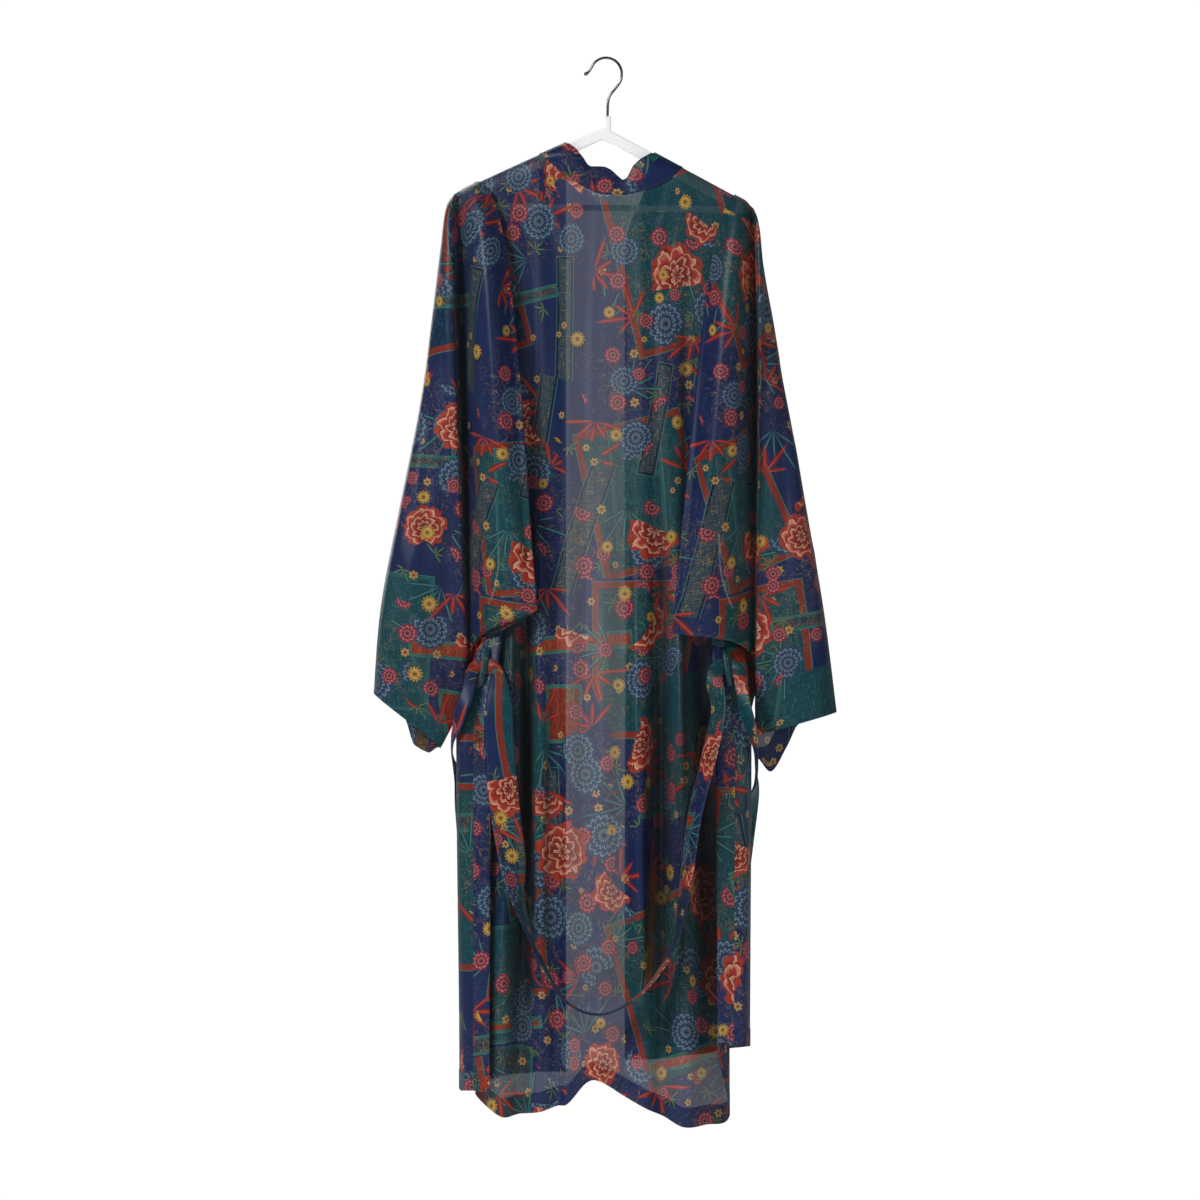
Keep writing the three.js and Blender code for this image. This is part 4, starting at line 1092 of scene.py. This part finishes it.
def sleeve_places(side, grid):
    """Places on the printed cloth of a sleeve: distance round it at each height, from its outer edge."""
    low = int(np.argmin(grid[:, :, 2].mean(axis=0)))
    heights = np.arange(-140, -900, -SLEEVE_STEP)
    top = grid[:, 0]
    order = np.argsort(-top[:, 2])
    edge = np.stack([np.interp(-heights, -top[order, 2], top[order, k]) for k in (0, 1)], -1)
    uv = np.empty(grid.shape[:2] + (2,))
    uv[..., 1] = grid[..., 2]
    front_wall = np.concatenate([grid[:, :1], grid[:, :low:-1]], axis=1)
    for part, wall, way in (
        (slice(0, low + 1), grid[:, : low + 1], 1),
        (slice(low + 1, grid.shape[1]), front_wall, -1),
    ):
        lines = []
        for row in wall:
            fall = np.maximum.accumulate(-row[:, 2])
            lines.append(np.stack([np.interp(-heights, fall, row[:, k]) for k in (0, 1)], -1))
        lines = np.stack(lines)
        below_top = -heights[None, :] >= -grid[:, :1, 2]
        reach = np.zeros(lines.shape[:2])
        total = np.zeros(len(heights))
        before = edge
        for i in range(len(grid) - 1, -1, -1):
            step = np.linalg.norm(lines[i] - before, axis=-1)
            total = np.where(below_top[i], total + step, 0.0)
            before = np.where(below_top[i][:, None], lines[i], edge)
            reach[i] = total
        for i in range(len(grid)):
            z = grid[i, part, 2]
            far = np.interp(-z, -heights, reach[i])
            x = np.interp(-z, -heights, edge[:, 0])
            uv[i, part, 0] = x + INWARD[side] * way * far
    pivot = np.array([-INWARD[side] * 165.0, -160.0])
    angle = INWARD[side] * SLEEVE_TILT
    turned = uv - pivot
    return pivot + np.stack(
        [
            turned[..., 0] * math.cos(angle) - turned[..., 1] * math.sin(angle),
            turned[..., 0] * math.sin(angle) + turned[..., 1] * math.cos(angle),
        ],
        -1,
    )


SLEEVE_FINE = 7
FINE_FROM = 11  # the row from which the sleeve has twice as many rows
# Painted shade on the sleeves, in the valley beside the pleat and under the arm: place among the rows, width,
# for the valley the height where it starts, and darkness.
SLEEVE_VALLEY_SHADE = {"place": 4.1, "width": 0.24, "from": -230, "dark": 0.8}
UNDER_ARM_SHADE = {"place": -0.15, "width": 0.35, "dark": 0.7}
sleeves = {}
for side in SIDES:
    coarse, places = sleeve_rows(side, SLEEVE_FINE)
    last = len(coarse) - 1
    steps = [np.arange(0, FINE_FROM, 1 / 7), np.arange(FINE_FROM, last, 1 / 14), [last]]
    steps = np.concatenate(steps)
    grid = resample(coarse, steps)
    uv = sleeve_places(side, grid)
    place = np.interp(steps, np.arange(len(places)), places)
    valley = np.exp(-(((place - SLEEVE_VALLEY_SHADE["place"]) / SLEEVE_VALLEY_SHADE["width"]) ** 2))[:, None]
    valley = valley * ease((SLEEVE_VALLEY_SHADE["from"] - grid[..., 2]) / FOLD_FADE)
    under = np.exp(-((np.maximum(0, place - UNDER_ARM_SHADE["place"]) / UNDER_ARM_SHADE["width"]) ** 2))
    # Painted shade, stored in the shade attribute.
    shade = valley * SLEEVE_VALLEY_SHADE["dark"]
    shade = np.maximum(shade, (under * (place < 0))[:, None] * UNDER_ARM_SHADE["dark"])
    normal = normals_of(grid, ring=True)
    centre = grid.mean(axis=1, keepdims=True)
    normal = normal * np.sign((normal * (grid - centre)).sum(-1).mean())
    loose = ease((place - 0.2) / 1.2)[:, None, None]
    moved = creased(grid, normal, SLEEVE_CREASES[side] + cuff_creases(side))
    grid = mix(grid, moved, loose)
    sleeves[side] = (grid, uv, normal)
    piece = cloth_sheet(f"sleeve_{side}_cloth", grid, SLEEVE_CLOTH[side], uv, shade, ring=True)
    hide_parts(f"sleeve_{side}")

# ---- Collar band ----
SEAM_REACH = 0.6
band_coarse = band_rows()
band_steps = np.arange(0, len(band_coarse) - 1 + 1e-6, 1 / 5)
band = resample(band_coarse, np.minimum(band_steps, len(band_coarse) - 1))
across_steps = np.linspace(0, BAND_STEPS, 15)
band = resample(band.transpose(1, 0, 2), across_steps).transpose(1, 0, 2)
seam_way = band[:, 0] - band[:, 1]
seam_way /= np.linalg.norm(seam_way, axis=1)[:, None]
band[:, 0] += seam_way * SEAM_REACH
band_uv = strip_places(band)
band_shade = np.zeros(band.shape[:2])
collar = shell("collar_band_cloth", band, 1.5, BAND_CLOTH, band_uv, band_shade)
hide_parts("collar_band")


# ---- Belt and its carriers ----
def strip_stations(rows, steps):
    rows = np.array(rows, float)
    u = np.arange((len(rows) - 1) * steps + 1) / steps
    x, out, z, turn, width = (between(column, u) for column in rows.T)
    points = np.stack([x, -out, z], -1)
    tangent = np.gradient(points, axis=0)
    tangent /= np.linalg.norm(tangent, axis=1)[:, None]
    flat = np.cross(tangent, [0.0, 1.0, 0.0])
    flat /= np.linalg.norm(flat, axis=1)[:, None]
    upright = np.cross(flat, tangent)
    turn = np.radians(turn)[:, None]
    wide = flat * np.cos(turn) + upright * np.sin(turn)
    deep = np.cross(tangent, wide)
    return points, wide, deep, width


def strip_grid(rows, steps, across, camber):
    """A strip as a grid, hollowed a little across by its camber in millimetres."""
    points, wide, deep, width = strip_stations(rows, steps)
    s = np.linspace(-0.5, 0.5, across)
    arch = camber * (1 - (2 * s) ** 2)
    return (
        points[:, None]
        + wide[:, None] * (width[:, None] * s)[..., None]
        + deep[:, None] * arch[None, :, None]
    )


belt_grid = strip_grid(BELT, 8, 13, 0.8)
belt_uv = strip_places(belt_grid)
belt = shell("belt_cloth", belt_grid, 1.5, BELT_CLOTH, belt_uv, np.zeros(belt_grid.shape[:2]))
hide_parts("belt")

for side in SIDES:
    seam_u = 0.0 if side == "left" else len(BACK_FOLDS) - 1.0
    rows = []
    for i, stand in enumerate(CARRIER_STANDS):
        z = mix(CARRIER["top"], CARRIER["bottom"], i / (len(CARRIER_STANDS) - 1))
        seam = back_point(np.array([seam_u]), np.array([float(z)]))[0]
        rows.append((seam[0], stand - seam[1], z, 0, CARRIER["width"]))
    grid = strip_grid(rows, 6, 7, 0.3)
    uv = strip_places(grid)
    carrier = shell(f"belt_loop_{side}_cloth", grid, 1.1, BELT_CLOTH, uv, np.zeros(grid.shape[:2]))
    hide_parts(f"belt_loop_{side}")


# ---- Hems and facings ----
HEM = 25
FACING = 62
HEM_PRINT = (37.0, 11.0)  # how far along the cloth the print on a doubled edge lies
FACING_PRINT = (19.0, 7.0)


def below(grid, height):
    """The first row from which a panel lies within a height of its hem."""
    length = along(grid, 0)
    left = (length[-1:] - length).mean(axis=1)
    return int(np.argmax(left < height))


def inside_strip(name, sheet, height, material, moved, ring=False):
    """A doubled edge: the same cloth folded back, lying just inside a sheet."""
    row = below(sheet[0], height)
    grid, uv, normal = (part[row:] for part in sheet)
    inner = grid - normal * 0.5
    return cloth_sheet(name, inner, material, uv + moved, np.zeros(grid.shape[:2]), ring)


hem_back = inside_strip("back_hem", (back, back_uv, back_normal), HEM, MAIN_CLOTH, HEM_PRINT)
for side in SIDES:
    name = f"front_{side}_hem"
    inside_strip(name, fronts[side], HEM, FRONT_CLOTH, HEM_PRINT)
for side in SIDES:
    name = f"cuff_{side}_facing"
    inside_strip(
        name, sleeves[side], FACING, SLEEVE_CLOTH[side], FACING_PRINT, ring=True
    )


# ---- Stitching ----
def line_reach(line):
    return np.concatenate([[0], np.cumsum(np.linalg.norm(np.diff(line, axis=0), axis=1))])


def on_line(at, reach, values):
    return np.stack([np.interp(at, reach, values[:, k]) for k in range(3)], -1)


def stitches(name, lines, pitch, length, wide, high):
    """Rows of small raised stitches along lines, each line being points and the normals there."""
    square = [(-1, -1), (1, -1), (1, 1), (-1, 1)]
    corners = [(x, y, 0) for x, y in square] + [(0.7 * x, 0.6 * y, 1) for x, y in square]
    quads = [(0, 3, 2, 1), (4, 5, 6, 7), (0, 1, 5, 4), (1, 2, 6, 5), (2, 3, 7, 6), (3, 0, 4, 7)]
    points, faces = [], []
    for line, normals in lines:
        reach = line_reach(line)
        at = np.arange(pitch / 2, reach[-1], pitch)
        middle = on_line(at, reach, line)
        normal = on_line(at, reach, normals)
        normal /= np.linalg.norm(normal, axis=1)[:, None] + 1e-9
        ahead = on_line(at + 0.5, reach, line) - middle
        ahead /= np.linalg.norm(ahead, axis=1)[:, None] + 1e-9
        side = np.cross(normal, ahead)
        for m, n, a, s in zip(middle, normal, ahead, side):
            base = len(points)
            for cx, cy, cz in corners:
                points.append(m + a * cx * length / 2 + s * cy * wide / 2 + n * (cz * high + 0.12))
            faces += [tuple(base + q for q in quad) for quad in quads]
    return add_piece(name, points, faces, THREAD, smooth=False)


def row_line(grid, normal, height):
    """A line across a panel at a height above its hem, with its normals."""
    length = along(grid, 0)
    left = length[-1:] - length
    points, normals = [], []
    for j in range(grid.shape[1]):
        i = np.interp(-height, -left[:, j], np.arange(grid.shape[0]))
        k = int(i)
        f = i - k
        nxt = min(k + 1, grid.shape[0] - 1)
        points.append(mix(grid[k, j], grid[nxt, j], f))
        normals.append(normal[k, j])
    return np.array(points), np.array(normals)


HEM_STITCH = (3.2, 2.2, 0.5, 0.3)
BAND_STITCH = (3.4, 2.3, 0.5, 0.3)
BELT_STITCH = (3.4, 2.3, 0.45, 0.25)
HEM_SEAM = 23
FACING_SEAM = 61
CUFF_SEAM = 4


def edge_lines(grid, columns):
    """Lines along a strip's columns, on both of its faces."""
    normal = normals_of(grid)
    return [
        (grid[:, column] + normal[:, column] * 0.7 * sign, normal[:, column] * sign)
        for column in columns
        for sign in (1, -1)
    ]


back_line = row_line(back, back_normal, HEM_SEAM)
back_stitch = stitches("back_hem_stitches", [back_line], *HEM_STITCH)
for side in SIDES:
    grid, _, normal = fronts[side]
    lines = [row_line(grid, normal, HEM_SEAM)]
    stitches(f"front_{side}_stitches", lines, *HEM_STITCH)
    grid, _, normal = sleeves[side]
    lines = [row_line(grid, normal, height) for height in (FACING_SEAM, CUFF_SEAM)]
    stitches(f"cuff_{side}_stitches", lines, *HEM_STITCH)
band_stitch = stitches("band_stitches", edge_lines(band, [1]), *BAND_STITCH)
belt_stitch = stitches("belt_stitches", edge_lines(belt_grid, [1, 11]), *BELT_STITCH)


# ---- Hook and hanger ----
def hook_points(count):
    middle = HOOK_WIRE / 2 - HOOK_RADIUS
    angles = [mix(math.pi * 0.86, 0, i / 8) for i in range(9)]
    bend = [(HOOK_RADIUS * math.cos(a), middle + HOOK_RADIUS * math.sin(a)) for a in angles]
    tail = [(18.5, -28), (11.5, -38), (5, -46.5), (2.5, -56), (2, -72.7)]
    places = np.array([(x, 0.0, z) for x, z in [(-28, -20), (-22.5, -16.5)] + bend + tail])
    fine = resample(places[:, None, :], np.linspace(0, len(places) - 1, 400))[:, 0]
    reach = line_reach(fine)
    at = np.linspace(0, reach[-1], count)
    return on_line(at, reach, fine), at


def make_hook():
    points, at = hook_points(150)
    sides = 20
    tangent = np.gradient(points, axis=0)
    tangent /= np.linalg.norm(tangent, axis=1)[:, None]
    side = np.array([0.0, 1.0, 0.0])
    wide = np.cross(tangent, side)
    radius = HOOK_WIRE / 2 * (1 + 0.5 * np.exp(-(((at - 2.6) / 2.0) ** 2)))
    radius[0] *= 0.35
    radius[1] *= 0.75
    angle = np.arange(sides) * 2 * math.pi / sides
    ring = np.cos(angle)[None, :, None] * wide[:, None] + np.sin(angle)[None, :, None] * side
    grid = points[:, None] + ring * radius[:, None, None]
    faces = grid_faces(len(points), sides, ring=True)
    faces.append(list(range(sides)))
    faces.append([(len(points) - 1) * sides + k for k in reversed(range(sides))])
    piece = add_piece("hook_wire", grid.reshape(-1, 3), faces, CHROME)
    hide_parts("hook")


make_hook()
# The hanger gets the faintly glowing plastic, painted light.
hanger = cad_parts["hanger"]
hanger.data.materials.clear()
hanger.data.materials.append(GLOWING_PLASTIC)

for side in SIDES:
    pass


# ---- Studio ----
FLOOR_DROP = 1.06
FLOOR_RADIUS = 2.4
SKY_LIGHT = 0.13  # how strongly the sky lights the robe
SKY_SEEN = 1.02  # how bright the sky looks


def make_floor():
    """A pale round floor under the robe."""
    count = 96
    angles = np.arange(count) * 2 * math.pi / count
    height = CENTRE[2] * MM - FLOOR_DROP
    points = [(FLOOR_RADIUS * math.cos(a), FLOOR_RADIUS * math.sin(a), height) for a in angles]
    mesh = bpy.data.meshes.new("floor")
    mesh.from_pydata(points, [], [list(range(count))])
    piece = place_object("floor", mesh)
    paper = plain_material("floor_paper", "f4f4f4", 0.9, grain=1.5, spread=0.01, glow=0.5)
    mesh.materials.append(paper)


def make_light(name, place, target, size, power):
    data = bpy.data.lights.new(name, "AREA")
    data.shape = "RECTANGLE"
    data.size, data.size_y = size
    data.energy = power
    light = place_object(name, data)
    light.location = place
    aim = np.array(target) - np.array(place)
    yaw = math.atan2(aim[1], aim[0]) - math.pi / 2
    pitch = math.atan2(aim[2], math.hypot(aim[0], aim[1]))
    light.rotation_euler = (math.pi / 2 + pitch, 0, yaw)


make_floor()
make_light("key", (-2.0, -3.0, 1.2), (0, 0, -0.6), (1.2, 1.2), 76)
make_light("fill", (2.6, -3.0, -0.4), (0, 0, -0.7), (2.2, 2.2), 9)
make_light("front", (-1.2, 3.4, 0.6), (0, 0, -0.7), (2.2, 2.2), 45)
bpy.context.scene.view_settings.view_transform = "Standard"
world = bpy.data.worlds.new("studio")
bpy.context.scene.world = world
world.use_nodes = True
sky = world.node_tree.nodes["Background"]
sky.inputs["Color"].default_value = (1, 1, 1, 1)
seen = world.node_tree.nodes.new("ShaderNodeLightPath")
in_view = Field(world.node_tree, seen.outputs["Is Camera Ray"])
feed(world.node_tree, sky.inputs["Strength"], in_view * (SKY_SEEN - SKY_LIGHT) + SKY_LIGHT)
